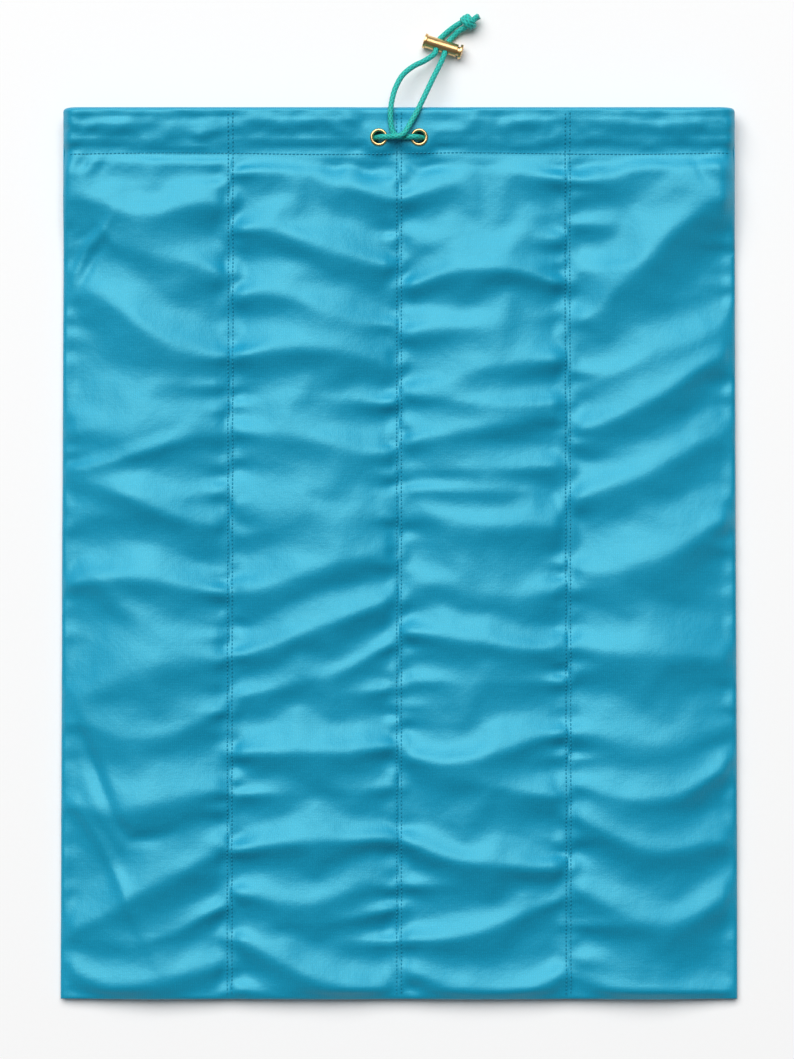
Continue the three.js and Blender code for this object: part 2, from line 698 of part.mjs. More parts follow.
const sides = { left: -1, right: 1 };
for (let i = 0; i < PANELS; i += 1) {
  const holes = [];
  for (const sign of Object.values(sides)) {
    const x = (sign * EYELET_SPACING) / 2;
    if (Math.floor((x + halfWidth) / pitch) === i) {
      const hole = new THREE.CylinderGeometry(eyeletBarrel + FIT, eyeletBarrel + FIT, 2 * CLOTH, ROUND_STEPS);
      holes.push(hole.rotateX(Math.PI / 2).translate(x, cordLine, brim - CLOTH / 2));
    }
  }
  pouch.add(piece(`front_panel_${i + 1}`, cut(panel(i, true), holes), "satin"));
}
for (let i = 0; i < PANELS; i += 1) {
  pouch.add(piece(`back_panel_${i + 1}`, panel(i, false), "satin"));
}
for (const [name, sign] of Object.entries(sides)) {
  const x = (sign * EYELET_SPACING) / 2;
  pouch.add(piece(`eyelet_${name}`, eyelet().translate(x, cordLine, brim), "brass"));
  pouch.add(piece(`eyelet_washer_${name}`, washer().translate(x, cordLine, brim), "brass"));
}
pouch.add(piece("drawcord_in_casing", casingRun(), "cord"));
for (const name of Object.keys(sides)) {
  pouch.add(piece(`${name}_strand_lower`, lowerStrand(name), "cord"));
  pouch.add(piece(`${name}_strand_upper`, upperStrand(name), "cord"));
}
lockTilt.add(piece("lock_sleeve", lockSleeve(), "brass"));
lockTilt.add(piece("lock_plunger", lockPlunger(), "brass"));
lockTilt.add(piece("lock_spring", lockSpring(), "spring_steel"));
pouch.add(lock);
knotGroup.add(piece("cord_knot", knot(), "cord"));
pouch.add(knotGroup);

export default pouch;
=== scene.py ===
"""Turquoise satin drawstring pouch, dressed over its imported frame."""

import math

import bmesh
import bpy
import numpy as np
from mathutils import Matrix, Vector, noise


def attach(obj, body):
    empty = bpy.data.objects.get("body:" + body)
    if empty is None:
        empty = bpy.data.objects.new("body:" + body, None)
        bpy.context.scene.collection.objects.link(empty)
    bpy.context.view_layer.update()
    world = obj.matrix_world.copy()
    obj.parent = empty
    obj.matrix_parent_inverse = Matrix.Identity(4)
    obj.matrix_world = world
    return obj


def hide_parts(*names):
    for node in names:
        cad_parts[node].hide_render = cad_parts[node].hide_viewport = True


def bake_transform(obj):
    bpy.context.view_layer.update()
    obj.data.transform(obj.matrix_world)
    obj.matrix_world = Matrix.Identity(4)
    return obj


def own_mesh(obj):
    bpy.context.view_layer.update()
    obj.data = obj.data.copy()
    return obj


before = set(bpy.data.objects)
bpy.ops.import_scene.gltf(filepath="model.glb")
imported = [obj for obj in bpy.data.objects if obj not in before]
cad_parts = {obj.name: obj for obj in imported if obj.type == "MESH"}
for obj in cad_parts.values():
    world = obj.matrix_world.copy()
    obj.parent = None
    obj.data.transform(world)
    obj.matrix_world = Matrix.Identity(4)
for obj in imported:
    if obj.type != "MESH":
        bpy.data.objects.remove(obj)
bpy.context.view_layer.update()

bl_info = {
    "name": "Drawstring Pouch",
    "version": (1, 0, 0),
    "blender": (4, 5, 0),
    "location": "View3D > Sidebar > Pouch",
    "description": "Dresses the packed drawstring pouch with satin, thread, cord and brass",
    "category": "Object",
}

MM = 0.001

# Pouch, in metres, as the frame has it
HALF_WIDTH = 152.5 * MM
HALF_LENGTH = 200.5 * MM
PANELS = 4
PITCH = 2 * HALF_WIDTH / PANELS
NARROWING = 3.5 * MM
BRIM = 14.4 * MM
SEAM_HEIGHT = 2.0 * MM
FACE_HEIGHT = 10.0 * MM
CROWN = 3.5 * MM
HEM_THICK = 4.5 * MM
STITCH_LINE = 179.5 * MM
HEM_END = 174.5 * MM
BLEND_START = 128.5 * MM
CLOTH = 0.4 * MM
HEM_LAID = CLOTH + 0.3 * MM + CLOTH
HEM_SLOPE = 4 * MM

# Turns of the front and of the back: width towards the side seams, width towards the bottom seam, and how
# tightly the bottom turns, where 2 is a quarter round. The front rises to its full height over FRONT_RISE.
SHOULDER = {True: 45.0 * MM, False: 8.0 * MM}
BOTTOM = {True: 26.0 * MM, False: 8.0 * MM}
BOTTOM_TURN = {True: 9.0, False: 2.0}
FRONT_RISE = 110 * MM

# Settling of the cloth: the simulation runs on a larger copy, and no point moves further than the limit
SETTLE_FRAMES = 18
SETTLE_SCALE = 10.0
SETTLE_LIMIT = 4.0 * MM

# Cord and eyelets
CORD_LINE = 186.5 * MM
CORD_DEPTH = 2.6 * MM
CORD_STEP = 0.25 * MM
PLAIT_PITCH = 2.3 * MM
EYELET_X = 9.0 * MM
EYELET_HOLE = 3.0 * MM
EYELET_FLAT = 4.4 * MM
EYELET_FREE = 10 * MM
BEND_RADIUS = 4.0 * MM
BEND_LOW = BRIM - CORD_DEPTH
BEND_HIGH = BRIM + 2.15 * MM

# Lock: its place on the floor, the places and radius of its cord holes, and the part of the mouth it passes
# over, as its middle and its half width where the cloth lies low and where it is free again
LOCK_PLACE = (
    Matrix.Translation((19.4 * MM, 228.7 * MM, 3.45 * MM))
    @ Matrix.Rotation(math.radians(-17.3), 4, "Z")
    @ Matrix.Rotation(math.radians(-28.0), 4, "X")
)
LOCK_HOLE = 2.1 * MM
LOCK_BORE = 1.5 * MM
LOCK_PASS = 6 * MM
PASS_LOW = 20 * MM
PASS_FREE = 30 * MM

# Spring in the lock's barrel
SPRING_START = -7.2 * MM
SPRING_LENGTH = 2.35 * MM
SPRING_RADIUS = 1.85 * MM
SPRING_WIRE = 0.4 * MM
SPRING_TURNS = 3

# Knot: its place on the floor, and the turns, radius and swell in mm and lean of its wraps
KNOT_PLACE = (
    Matrix.Translation((31.5 * MM, 239.6 * MM, 4.14 * MM))
    @ Matrix.Rotation(math.radians(28.0), 4, "Z")
    @ Matrix.Rotation(math.radians(-12.0), 4, "Y")
)
KNOT_TURNS = 2.3
KNOT_RADIUS = 2.45
KNOT_SWELL = 0.2
KNOT_LEAN = math.radians(12.0)

# Stage: the softbox's place and size in metres and its power, the light from all round, and the camera
# straight above, whose picture covers PHOTO_LENGTH of the pouch and is centred towards the mouth
KEY_PLACE = (-1.18, 4.38, 6.59)
KEY_SIZE = (9.0, 6.4)
KEY_POWER = 869.0
ROUND_LIGHT = 0.13
PHOTO_LENGTH = 0.4766
PHOTO_CENTRE = (-0.9 * MM, 11.0 * MM)
LENS = 80.0
SENSOR = 24.0

# Free strands in mm, as across, past the mouth's edge and height: on the pouch above the brim, then above
# the floor
ON_POUCH = {
    "left": [
        (3.4, -14, 1.65), (1.4, -14, 1.4), (-0.7, -13.7, 1.4), (-2.4, -12.3, 1.45), (-3.3, -9.9, 1.5),
        (-3.75, -6.6, 1.55), (-3.8, -2.7, 1.5),
    ],
    "right": [
        (-3.4, -14, 3.1), (-1.6, -14, 3.95), (0.6, -13.7, 4.2), (2.4, -12.5, 4), (3.9, -10.2, 3.3),
        (5.3, -7.6, 2.45), (7.6, -3.6, 1.7),
    ],
}
ON_FLOOR = {
    "left": [(-3.1, 2.7, 14.9), (-1.4, 8.6, 13), (1.8, 14.4, 10.8), (6.7, 18.6, 8.8), (11.6, 21.2, 7.3)],
    "right": [(9.9, 1.2, 15), (12.6, 7.1, 12.7), (15.4, 13.2, 10.3), (18, 18.6, 8)],
}
PAST_LOCK = {
    "left": [(20.1, 33.3, 1.6), (22.7, 35.5, 2)],
    "right": [(23.6, 31.9, 1.6), (25.1, 33.3, 2)],
}

# Section of the casing in mm: height up the pouch and height off the smooth base
CASING_SECTION = (
    (165, 0.0), (172, -0.5), (176, -1.3), (178.6, -2.2), (179.5, -2.4), (180.4, -2.25), (182, -2.1),
    (184, -1.8), (186.5, -0.9), (189.5, 0.2), (191.8, 0.9), (193.2, 1.25), (194.4, 1.2), (195.6, 0.75),
    (196.6, 0.6), (197.4, 0.9), (198.3, 1.5),
)

# Folds of the front panels in mm, from the mouth down: height up the pouch of the fold's crest at five
# columns across the panel, width of the bank above the crest that faces the mouth, and the bank's drop at
# the panel's left, middle and right
FOLD_COLUMNS = (0.08, 0.25, 0.5, 0.75, 0.92)
FRONT_FOLDS = (
    (
        (178, 177.5, 176.5, 176, 175, 4, 0.5, 1.5, 1.5), (160, 157, 148, 157, 158, 10, 0.8, 2.2, 3.0),
        (142, 141, 133, 131, 126, 11, 0.8, 1.6, 3.2), (123, 115, 99, 88.5, 87, 12, 1.6, 3.2, 3.0),
        (76, 76, 76, 75, 74, 4, 0, 0, 1.2), (57, 55.5, 54, 56, 58, 16, 2.4, 2.6, 2.6),
        (38, 40, 46, 52, 54, 4, 1.2, 1.2, 0), (28, 27, 26, 26, 27, 8, 0, 1.0, 2.0),
        (33, 31, 22, 14, 12, 9, 1.6, 2.8, 2.6), (17, 17, 16, 15, 15, 7, 1.4, 0, 0),
        (-14, -10, -11, -15, -18, 9, 2.4, 2.8, 2.8), (-68, -57, -51.5, -47, -47, 18, 2.0, 3.0, 3.2),
        (-76, -80, -85, -79, -71, 9, 0.8, 1.2, 2.4), (-112, -116, -114, -109, -106, 12, 1.5, 3.0, 2.8),
        (-170, -163, -150, -142, -133, 12, 2.6, 3.0, 2.6), (-176, -176, -176, -168, -158, 6, 0, 1.0, 2.2),
        (-186, -196, -193, -189, -185, 9, 2.6, 2.6, 2.4),
    ),
    (
        (170.5, 171, 168, 163.5, 158, 7, 2.2, 1.2, 2.6), (144, 146, 137, 132, 128, 11, 3.2, 3.4, 3.6),
        (116, 118, 110, 103, 101, 10, 2.8, 2.8, 2.0), (88, 92.5, 92, 89, 85, 10, 3.4, 3.4, 2.8),
        (70, 70, 70, 68.5, 67.5, 6, 0, 0.8, 2.2), (54, 53.5, 51, 45, 43, 12, 2.2, 2.4, 2.8),
        (24, 17, 17, 17, 19, 16, 1.8, 2.6, 2.4), (-18.5, -15, -7, -1.5, -1, 12, 3.2, 3.4, 3.0),
        (-46, -41, -34, -27, -21, 9, 3.0, 3.6, 3.4), (-64.5, -60, -57, -50, -40, 7, 2.0, 1.2, 2.2),
        (-60, -62, -64, -63, -60, 5, 0, 0, 1.8), (-89, -89, -88.5, -89, -86, 8, 3.0, 3.0, 3.0),
        (-107.5, -107.5, -108, -106, -105, 5, 2.4, 0.2, 1.4),
        (-133, -130.5, -128.5, -128.5, -127, 7.5, 3.0, 3.0, 3.0),
        (-153, -157, -158, -150, -146, 9, 2.6, 2.2, 1.6), (-166, -166, -166, -163.5, -159, 5, 0, 0.6, 2.0),
        (-177, -177, -177, -174, -175, 4, 0, 0, 1.8), (-173, -181, -192, -196, -195, 9, 3.0, 3.4, 2.8),
        (-198, -198, -199, -200, -200, 7, 2.2, 0, 0),
    ),
    (
        (159, 164, 171, 170, 167.5, 8, 2.4, 0.6, 2.0), (138, 139, 139, 139, 140, 11, 2.0, 1.6, 1.6),
        (119, 126, 127.5, 127, 121, 8, 3.2, 3.2, 3.2), (99, 101, 101, 104, 106, 10, 2.8, 1.8, 0.6),
        (73, 76, 83, 86, 87, 10, 1.0, 2.2, 3.2), (70, 69.5, 66.5, 66, 68, 7, 1.4, 1.8, 2.4),
        (51, 53, 56, 60, 62, 9, 3.0, 2.6, 1.2), (38, 37, 37, 38.5, 39.5, 7, 1.0, 1.6, 2.2),
        (29, 28.5, 28, 28, 28, 4, 1.4, 1.0, 0), (22, 13.5, 12.5, 12, 13, 12, 1.6, 2.8, 3.0),
        (-13, -13, -17, -20, -16, 11, 1.8, 1.4, 2.6), (-35, -37, -40, -43, -42.5, 8, 3.0, 3.0, 3.0),
        (-57, -57, -58, -57, -57, 6, 1.8, 0.6, 1.4), (-68, -68, -68, -68, -68, 5, 1.0, 0, 0),
        (-90, -95, -91, -85, -80, 8.5, 3.0, 2.8, 2.2), (-99, -100, -103, -107.5, -108.5, 7, 0, 1.2, 2.8),
        (-129, -136.5, -139, -140.5, -142, 8, 3.0, 3.2, 3.0), (-149, -149, -149, -149, -149, 5, 2.0, 0, 0),
        (-173.5, -174, -170, -161, -155, 7, 3.0, 2.4, 1.8), (-186, -195, -199, -197, -190, 9, 2.6, 2.4, 3.0),
    ),
    (
        (166, 168, 173, 174, 174, 7, 2.4, 1.6, 1.2), (148, 147, 146, 146, 146, 5, 1.4, 0, 0),
        (126, 127, 130, 140, 150, 9, 2.2, 0.6, 0), (101, 116, 135, 152, 160, 16, 2.4, 3.8, 3.4),
        (78, 78, 88, 95, 104, 10, 1.6, 2.0, 1.8), (54, 60, 68, 81, 91, 10, 3.0, 3.2, 3.0),
        (25, 30, 36, 48, 56, 10, 2.8, 2.4, 1.6), (-11.5, -9, -4, 5, 18, 14, 3.0, 3.2, 3.2),
        (-43, -45, -45.5, -46, -47, 13, 3.2, 3.2, 2.6), (-80, -84, -88, -84, -78, 12, 2.0, 1.8, 1.4),
        (-104, -110, -111.5, -107, -93, 9, 2.2, 3.0, 3.2), (-118, -127, -135, -131, -128, 10, 3.2, 3.4, 2.6),
        (-150, -160, -168, -165, -152, 13, 3.0, 3.6, 3.0), (-167, -167, -167, -167, -167, 4, 1.2, 0, 0),
        (-181, -184, -187, -187, -187, 6, 2.0, 0.6, 0), (-189, -197, -198.5, -199, -198, 8, 2.2, 3.0, 2.4),
    ),
)

# How far a fold runs out above and below its crest against its width, how it curves there, how round the
# crest is, and the part of a panel's mean height that is taken off again
BANK_RUNOUT = 1.65
BACK_RUNOUT = 2.2
BANK_CURVE = 1.6
BACK_CURVE = 2.0
CREST_ROUNDING = 0.3
FOLD_LEVEL = 0.85

# Seams: distances from them where the cloth is held and free again, the part of the next panel's folds that
# carries across, and the puckers along the stitching with their reach into the panel
SEAM_HELD = 0.3 * MM
SEAM_FREE = 7 * MM
SHARED_FOLDS = 0.35
PUCKER_PITCH = 5.6 * MM
PUCKER_HEIGHT = 0.8 * MM
REACH_PITCH = 9 * MM
REACH_MEAN = 3.0 * MM
REACH_CHANGE = 1.0 * MM
SIDE_PUCKERS = 0.5
CASING_PUCKERS = 0.9

# Heights up the pouch where the casing's puckers, swell and mottle begin, are full, fade and end, and those
# of its dip behind the eyelets
CASING_PUCKERED = (STITCH_LINE, STITCH_LINE + 3 * MM, 194 * MM, 198 * MM)
CASING_SWOLLEN = (STITCH_LINE, STITCH_LINE + 4 * MM, 196 * MM, 199 * MM)
CASING_MOTTLED = (STITCH_LINE, STITCH_LINE + 5 * MM, 195 * MM, 200 * MM)
DIP_PLACE = (190 * MM, 193.5 * MM, 193.5 * MM, 199 * MM)
DIP_DEPTH = 0.9 * MM

# Casing where the lock passes: it lies low above this height up the pouch, at no more than this height off
# its base
LOW_ABOVE = 189 * MM
LOW_HEIGHT = 0.05 * MM

# Casing over its cord: clearance, half width of the tent's top, its slope and its reach
TENT_CLEARANCE = 0.15 * MM
TENT_TOP = 1.6 * MM
TENT_SLOPE = 0.7
TENT_REACH = 6 * MM

# Mouth's fold: heights up the pouch where its roll begins and is full, its rim, and how far it goes down and
# comes back up to the hem
ROLL_START = 193 * MM
ROLL_FULL = 198 * MM
ROLL_RIM = 1.5 * MM
ROLL_DOWN = 3.2 * MM
ROLL_BACK = 1.6 * MM

# Back panels: height of their waves and of the whole cloth off the floor
BACK_WAVES = 1.6 * MM
BACK_LIFT = 0.25 * MM

# One stitch: radius, straight length, length, sinking and taper of its ends, and its height off the cloth
STITCH_RADIUS = 0.3 * MM
STITCH_BODY = 0.8 * MM
STITCH_END = 0.22 * MM
STITCH_SINK = 0.08 * MM
STITCH_TAPER = 0.55
STITCH_LIFT = 0.06 * MM

# Sharper creases in mm: points across and up the pouch, half width, height
FRONT_CREASES = (
    (
        ((-150, -66), (-143, -82), (-134, -104), (-127, -120), (-121, -128), (-110, -127.5), (-102, -125.5)),
        3.0, -1.1,
    ),
    (((-147, -111), (-134, -129), (-124, -151), (-116, -169), (-109, -183)), 2.4, 0.8),
    (((-148, 123), (-141.5, 137), (-134, 145), (-128.5, 154)), 1.9, 0.7),
    (((-146, 118), (-138, 133), (-131, 141)), 1.9, -0.6),
    (((-137, 150), (-131, 141.5), (-126, 136)), 1.9, 0.5),
    (((-150, 140), (-141, 143), (-133, 150)), 2.0, -0.5),
    (((-147, 0), (-137, -12), (-126, -23), (-110, -34)), 5.5, 0.8),
    (((98, 147), (117, 160), (137, 173)), 8.0, 0.7),
)

# Crumples at the casing's ends and along its stitching, in the same terms
CASING_CREASES = (
    (((-151, 183.5), (-146, 186), (-140, 190)), 1.9, 0.9),
    (((-151, 181), (-146, 182.5), (-141, 187)), 1.7, -0.9),
    (((-149, 188.5), (-144, 189), (-137, 187.5)), 1.8, -0.7),
    (((-150, 195.5), (-143, 193.5), (-137, 194.5)), 2.0, -0.8),
    (((-113, 181.4), (-97, 182.2), (-81, 181.3)), 1.7, 0.7),
    (((-98, 189.5), (-91, 187.5), (-84, 188.5)), 2.2, 0.8),
    (((-92, 184.2), (-85, 185.2), (-79, 187)), 1.8, -0.6),
    (((-73, 187), (-66, 185.5), (-58, 186.5)), 2.0, 0.7),
    (((-32, 192), (-25, 188), (-17, 187)), 2.0, 0.7),
    (((-28, 185), (-21, 183.5), (-16, 184.5)), 1.8, -0.6),
    (((16, 187.5), (24, 189.5), (34, 192)), 2.0, 0.7),
    (((60, 186), (67, 184.5), (73, 186.5)), 1.9, 0.7),
    (((79, 183), (86, 186), (95, 188)), 2.0, 0.7),
    (((128, 189), (137, 186), (144, 187.5)), 1.9, -0.7),
    (((136, 182.5), (143, 184.5), (151, 183)), 1.8, 0.9),
    (((138, 193), (145, 192), (151, 194.5)), 2.0, -0.8),
    (((-141, 178.5), (-146, 172)), 1.8, -0.8),
    (((-136, 178.5), (-142, 169)), 1.8, 0.7),
    (((-131, 178.5), (-135, 171)), 1.7, -0.6),
    (((141, 178.5), (146, 171)), 1.8, 0.8),
    (((133, 178.5), (139, 168)), 1.9, -0.7),
    (((-13.5, 188.5), (-20, 191.5), (-27, 194)), 1.7, -1.0),
    (((13.5, 188.5), (20, 191.5), (27, 193.5)), 1.7, -1.0),
    (((-13.5, 184.8), (-18, 182.5), (-23, 181)), 1.6, -0.8),
    (((13.5, 184.8), (18, 182.5), (23, 181)), 1.6, -0.8),
    (((-36, 174.5), (-29, 173), (-23, 174.5)), 2.8, -1.3),
    (((-21, 173), (-13, 171.5), (-5, 174)), 2.8, -1.4),
    (((3, 174.5), (9, 172), (16, 174), (24, 175)), 2.8, -1.4),
)


def linear(code):
    """Linear RGBA of an sRGB hex colour."""
    values = [int(code[i : i + 2], 16) / 255 for i in (0, 2, 4)]
    return tuple(v / 12.92 if v <= 0.04045 else ((v + 0.055) / 1.055) ** 2.4 for v in values) + (1.0,)


class PouchSizes(bpy.types.PropertyGroup):
    """Sizes of the soft pieces that a user may change."""

    grid: bpy.props.FloatProperty(
        name="Cloth grid", description="Spacing of the satin's grid", default=1.66 * MM, min=0.8 * MM,
        unit="LENGTH",
    )
    fold_height: bpy.props.FloatProperty(
        name="Fold height", description="Height of the folds against the modelled ones", default=1.46,
        min=0.0, subtype="FACTOR",
    )
    stitch_pitch: bpy.props.FloatProperty(
        name="Stitch pitch", description="Spacing of the stitches", default=1.8 * MM, min=1.0 * MM,
        unit="LENGTH",
    )
    row_gap: bpy.props.FloatProperty(
        name="Seam row spacing", description="Distance between the two rows of a seam", default=2.1 * MM,
        min=1.0 * MM, unit="LENGTH",
    )
    cord_diameter: bpy.props.FloatProperty(
        name="Cord diameter", description="Diameter of the elastic cord", default=2.5 * MM, min=1.0 * MM,
        unit="LENGTH",
    )


# What the colour properties share
COLOUR = {"subtype": "COLOR", "size": 4, "min": 0.0, "max": 1.0}


class PouchColours(bpy.types.PropertyGroup):
    """Colours of the finishes."""

    satin: bpy.props.FloatVectorProperty(
        name="Satin", description="Dyed satin", default=linear("0299C1"), **COLOUR
    )
    cord: bpy.props.FloatVectorProperty(
        name="Cord", description="Braided cover of the elastic", default=linear("1FBFB3"), **COLOUR
    )
    brass: bpy.props.FloatVectorProperty(
        name="Brass", description="Polished brass", default=linear("ECC388"), **COLOUR
    )
    thread: bpy.props.FloatVectorProperty(
        name="Thread", description="Sewing thread", default=linear("1590B0"), **COLOUR
    )


def sizes():
    return bpy.context.scene.pouch_sizes


def colours():
    return bpy.context.scene.pouch_colours


# Materials


def add_node(tree, kind, values=None, links=None, **settings):
    """Adds one node with its settings, input values and links."""
    node = tree.nodes.new(kind)
    for name, value in settings.items():
        setattr(node, name, value)
    for name, value in (values or {}).items():
        node.inputs[name].default_value = value
    for name, socket in (links or {}).items():
        tree.links.new(socket, node.inputs[name])
    return node


def object_place(tree):
    return add_node(tree, "ShaderNodeTexCoord").outputs["Object"]


def patches(tree, place, size, detail, roughness=0.5):
    """Soft random patches of the given size."""
    values = {"Scale": 1 / size, "Detail": detail, "Roughness": roughness}
    return add_node(tree, "ShaderNodeTexNoise", values, {"Vector": place}).outputs["Fac"]


def spread(tree, value, low, high):
    """A pattern's values spread between two limits."""
    return add_node(tree, "ShaderNodeMapRange", {"To Min": low, "To Max": high}, {"Value": value}).outputs[0]


def product(tree, one, other):
    return add_node(tree, "ShaderNodeMath", links={0: one, 1: other}, operation="MULTIPLY").outputs[0]


def toned(tree, colour, tone):
    """A colour made lighter and darker by a pattern."""
    return add_node(tree, "ShaderNodeHueSaturation", {"Color": tuple(colour)}, {"Value": tone}).outputs[0]


def relief_normal(tree, height, strength, depth, **under):
    """Normals of a fine relief, over the normals of a coarser one."""
    values = {"Strength": strength, "Distance": depth}
    return add_node(tree, "ShaderNodeBump", values, {"Height": height, **under}).outputs[0]


def named_material(name, build):
    """The material of that name, built the first time that it is asked for."""
    material = bpy.data.materials.get(name)
    if material is None:
        material = bpy.data.materials.new(name)
        material.use_nodes = True
        tree = material.node_tree
        tree.nodes.clear()
        shader = add_node(tree, "ShaderNodeBsdfPrincipled", *build(tree))
        add_node(tree, "ShaderNodeOutputMaterial", links={"Surface": shader.outputs[0]})
    return material


def satin(tree):
    """Polyester satin: long floats of dyed yarn lie side by side, so light slides along the folds in broad
    bands of the cloth's own colour, while the weave itself is only a faint grain."""
    place = add_node(tree, "ShaderNodeUVMap", uv_map="cloth").outputs["UV"]
    # The yarns are about 0.1 mm apart and far too fine to show, so the grain is drawn at 0.9 mm across and
    # 0.7 mm along. At a scale of 1 a wave's bands are 0.314 apart.
    yarns = []
    for direction, spacing in (("X", 0.9 * MM), ("Y", 0.7 * MM)):
        wave = add_node(
            tree, "ShaderNodeTexWave",
            {"Scale": 0.314 / spacing, "Distortion": 5.0, "Detail": 2.0, "Detail Scale": 2.0},
            {"Vector": place}, wave_type="BANDS", bands_direction=direction,
        )
        yarns.append(wave.outputs["Fac"])
    weave = product(tree, *yarns)
    # Uneven dye and gloss, about 18 mm across
    cloudy = patches(tree, place, 18 * MM, 3.0, 0.55)
    tone = product(tree, spread(tree, cloudy, 0.95, 1.05), spread(tree, weave, 0.84, 1.16))
    # Slack of the weave, about 7 mm across
    slack = relief_normal(tree, patches(tree, place, 7 * MM, 4.0, 0.6), 0.8, 0.35 * MM)
    values = {
        "IOR": 1.9,
        "Specular Tint": (0.36, 1.0, 1.0, 1.0),
        "Sheen Weight": 0.04,
        "Sheen Tint": (0.1, 0.8, 1.0, 1.0),
    }
    links = {
        "Base Color": toned(tree, colours().satin, tone),
        "Roughness": spread(tree, cloudy, 0.43, 0.51),
        "Normal": relief_normal(tree, weave, 0.2, 0.08 * MM, Normal=slack),
    }
    return values, links


def elastic(tree):
    """Braided polyester over a rubber core: dull, fuzzy plaits, with painted shade in the grooves between
    them.
    """
    # Painted shade: the cord is darker in the grooves between the plaits and a little lighter on their tops,
    # from the plaits' height
    plait_shade = add_node(tree, "ShaderNodeAttribute", attribute_name="plait_shade").outputs["Fac"]
    # The plaits' yarns are about 0.25 mm, drawn at 0.5 mm so that they show
    yarn = patches(tree, object_place(tree), 0.5 * MM, 2.0)
    tone = product(tree, spread(tree, plait_shade, 0.5, 1.12), spread(tree, yarn, 0.85, 1.15))
    values = {"Roughness": 0.55, "Sheen Weight": 0.1, "Sheen Roughness": 0.5, "Specular IOR Level": 0.35}
    links = {
        "Base Color": toned(tree, colours().cord, tone),
        "Normal": relief_normal(tree, yarn, 0.3, 0.06 * MM),
    }
    return values, links


def brass(tree):
    """Turned and polished brass: clear streaks of light, with fine scratches and a little handling haze."""
    place = object_place(tree)
    # Handling haze of about 3 mm, and polishing scratches about 0.15 mm apart
    haze = patches(tree, place, 3.0 * MM, 4.0)
    scratches = patches(tree, place, 0.15 * MM, 1.0)
    links = {
        "Base Color": toned(tree, colours().brass, spread(tree, haze, 0.92, 1.06)),
        "Roughness": spread(tree, haze, 0.24, 0.36),
        "Normal": relief_normal(tree, scratches, 0.04, 0.02 * MM),
    }
    return {"Metallic": 1.0}, links


def thread(tree):
    """Polyester sewing thread: twisted, darker than the satin, with a soft shine."""
    # The twist's ply is about 0.2 mm, drawn at 0.5 mm so that it shows
    ply = patches(tree, object_place(tree), 0.5 * MM, 1.0)
    colour = toned(tree, colours().thread, spread(tree, ply, 0.75, 1.2))
    return {"Roughness": 0.6, "Specular IOR Level": 0.25}, {"Base Color": colour}


def spring_steel(tree):
    """Drawn spring wire: grey, half bright, with faint drawing marks."""
    # Drawing marks about 0.3 mm apart
    marks = patches(tree, object_place(tree), 0.3 * MM, 2.0)
    colour = toned(tree, linear("B4B7BB"), spread(tree, marks, 0.85, 1.1))
    return {"Metallic": 1.0, "Roughness": 0.32}, {"Base Color": colour}


def white_paper(tree):
    """Matt white paper sweep under the pouch: no gloss, with a hardly visible tooth."""
    # Paper tooth of about 2 mm
    tooth = patches(tree, object_place(tree), 2.0 * MM, 2.0)
    colour = toned(tree, linear("FBFBFB"), spread(tree, tooth, 0.985, 1.0))
    return {"Roughness": 0.95, "Specular IOR Level": 0.0}, {"Base Color": colour}


# Making meshes


def clear_selection():
    """Leaves nothing selected or active, in object mode."""
    if bpy.context.object and bpy.context.object.mode != "OBJECT":
        bpy.ops.object.mode_set(mode="OBJECT")
    bpy.ops.object.select_all(action="DESELECT")
    bpy.context.view_layer.objects.active = None


def make_active(piece):
    """Selects one piece alone."""
    clear_selection()
    piece.select_set(True)
    bpy.context.view_layer.objects.active = piece


def apply_modifier(piece, kind, **settings):
    """Adds a modifier to a piece and applies it."""
    make_active(piece)
    modifier = piece.modifiers.new(kind.title(), kind)
    for name, value in settings.items():
        setattr(modifier, name, value)
    bpy.ops.object.modifier_apply(modifier=modifier.name)


def cut(piece, tool):
    """Cuts a tool's form out of a piece and removes the tool."""
    apply_modifier(piece, "BOOLEAN", object=tool, operation="DIFFERENCE", solver="EXACT")
    bpy.data.objects.remove(tool)


def new_piece(name, vertices, faces):
    """A mesh object with the given points and faces."""
    mesh = bpy.data.meshes.new(name)
    mesh.from_pydata(vertices, [], faces)
    piece = bpy.data.objects.new(name, mesh)
    bpy.context.collection.objects.link(piece)
    return piece


def shade(piece, material, angle):
    """Gives a piece its material and smooth shading, sharp past an angle in degrees."""
    piece.data.materials.clear()
    piece.data.materials.append(material)
    make_active(piece)
    bpy.ops.object.shade_smooth_by_angle(angle=math.radians(angle))


def dress(piece, body, slot, *nodes):
    """Lets a piece ride on its body and stand for its CAD nodes. The slot is not used."""
    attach(piece, body)
    if nodes:
        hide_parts(*nodes)


def turned(name, profile, centre, axis, side, steps=64):
    """Spins a profile, drawn by extruding one vertex, into a closed ring. Its points are a radius and a place
    along the axis, in mm."""
    centre, axis, side = Vector(centre), Vector(axis), Vector(side)
    points = [centre + axis * (along * MM) + side * (radius * MM) for radius, along in profile]
    clear_selection()
    bpy.ops.mesh.primitive_plane_add(size=MM, location=points[0])
    piece = bpy.context.object
    piece.name = piece.data.name = name
    bpy.ops.object.transform_apply(location=True, rotation=True, scale=True)
    bpy.ops.object.mode_set(mode="EDIT")
    bpy.ops.mesh.select_all(action="SELECT")
    bpy.ops.mesh.merge(type="CENTER")
    for before, after in zip(points, points[1:]):
        bpy.ops.mesh.extrude_region_move(TRANSFORM_OT_translate={"value": after - before})
    bpy.ops.mesh.select_all(action="SELECT")
    bpy.ops.mesh.spin(steps=steps, angle=2 * math.pi, center=centre, axis=axis)
    bpy.ops.mesh.select_all(action="SELECT")
    bpy.ops.mesh.remove_doubles(threshold=0.002 * MM)
    bpy.ops.mesh.normals_make_consistent(inside=False)
    bpy.ops.object.mode_set(mode="OBJECT")
    return piece


